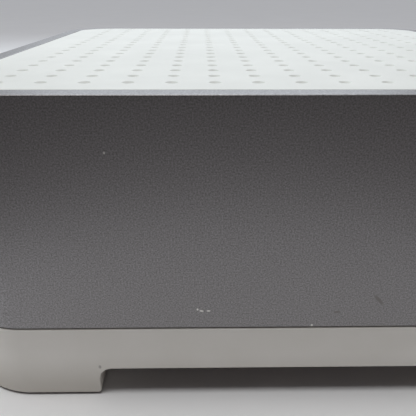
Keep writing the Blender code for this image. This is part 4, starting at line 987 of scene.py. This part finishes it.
def make_stage():
    """Wide white paper floor, and two cards that keep light off the front as a close camera does."""
    shape = bmesh.new()
    bmesh.ops.create_grid(shape, x_segments=1, y_segments=1, size=FLOOR_HALF)
    floor = solid("floor", shape)
    floor.data.materials.append(uncoated_paper("paper_sweep", ("F6F6F7", "F8F8F9"), 90 * MM))
    bent_card("grey_card", 0, LOW_CARD_HEIGHT, ("8B8584", "918B8A"))
    bent_card("dark_card", LOW_CARD_HEIGHT, TALL_CARD_HEIGHT, ("3A3633", "403C39"))


def add_lamp(name, place, size, energy, code):
    """Area lamp of a width along X and a height, which points at the node."""
    aim = -Vector(place).normalized()
    lamp = bpy.data.lights.new(name, "AREA")
    lamp.shape = "RECTANGLE"
    lamp.size, lamp.size_y = size
    lamp.energy = energy
    lamp.color = colour(code)[:3]
    holder = bpy.data.objects.new(name, lamp)
    holder.location = place
    holder.rotation_euler = (math.asin(aim.y), math.atan2(-aim.x, -aim.z), 0)
    bpy.context.scene.collection.objects.link(holder)


def make_light():
    """A soft box overhead and a cool one behind the node, in a plain pale room."""
    add_lamp("overhead_softbox", OVERHEAD_PLACE, OVERHEAD_SIZE, OVERHEAD_POWER, "FBFBFA")
    add_lamp("rear_softbox", REAR_PLACE, REAR_SIZE, REAR_POWER, "EAF4FC")
    world = bpy.data.worlds.new("room")
    bpy.context.scene.world = world
    world.use_nodes = True
    world.node_tree.nodes["Background"].inputs["Color"].default_value = colour("B2B3B6")


def make_camera():
    """Camera at the photograph's place and angle."""
    lens = bpy.data.cameras.new("camera")
    lens.sensor_width = SENSOR_WIDTH
    lens.lens = FOCAL_PIXELS * SENSOR_WIDTH / PHOTO_WIDTH
    lens.clip_start = NEAREST_SEEN
    camera = bpy.data.objects.new("camera", lens)
    yaw = Matrix.Rotation(math.radians(-CAMERA_YAW), 4, "Z")
    tilt = Matrix.Rotation(math.radians(90 - CAMERA_PITCH), 4, "X")
    roll = Matrix.Rotation(math.radians(CAMERA_ROLL), 4, "Z")
    camera.matrix_world = Matrix.Translation(CAMERA_PLACE) @ yaw @ tilt @ roll
    bpy.context.scene.collection.objects.link(camera)
    bpy.context.scene.camera = camera


def finish_cad_nodes(finishes, special):
    """Gives every CAD node the finish of its material slot, or its own where it has a special one."""
    for part in frame["record"]["subparts"]:
        mesh = frame["nodes"][part["node"]].data
        mesh.materials.clear()
        mesh.materials.append(special.get(part["node"], finishes[part["material_slot"]]))


finishes = {
    "white_plastic": textured_white_abs(),
    "grey_metallic_paint": satin_metallic_paint(),
    "dark_plastic": matt_black_abs(),
    "rubber": moulded_rubber(),
    "circuit_board": solder_mask(),
    "aluminium": extruded_aluminium(),
    "tinned_steel": tin_plate(),
    "gold_plate": gold_plate(),
    "thermal_pad": thermal_gap_pad(),
    "clear_plastic": clear_acrylic(),
    "black_cable": cable_jacket(),
}
nylon = glass_filled_nylon()
finish_cad_nodes(finishes, dict.fromkeys(PACKAGES, epoxy_package()))
make_lid(finishes["white_plastic"])
make_sleeve(finishes["grey_metallic_paint"])
make_base(painted_light_white_abs(), painted_shade_underside())
make_pads(finishes["rubber"])
make_panel(finishes["dark_plastic"])
make_jack_body(nylon)
make_jack_screen(finishes["tinned_steel"])
make_jack_springs(finishes["gold_plate"])
make_power_inlet(nylon)
make_power_pin(finishes["tinned_steel"])
make_sync_cap(finishes["white_plastic"])
make_status_lens(finishes["clear_plastic"])
make_stage()
make_light()
make_camera()
bpy.context.scene.view_settings.view_transform = "Standard"
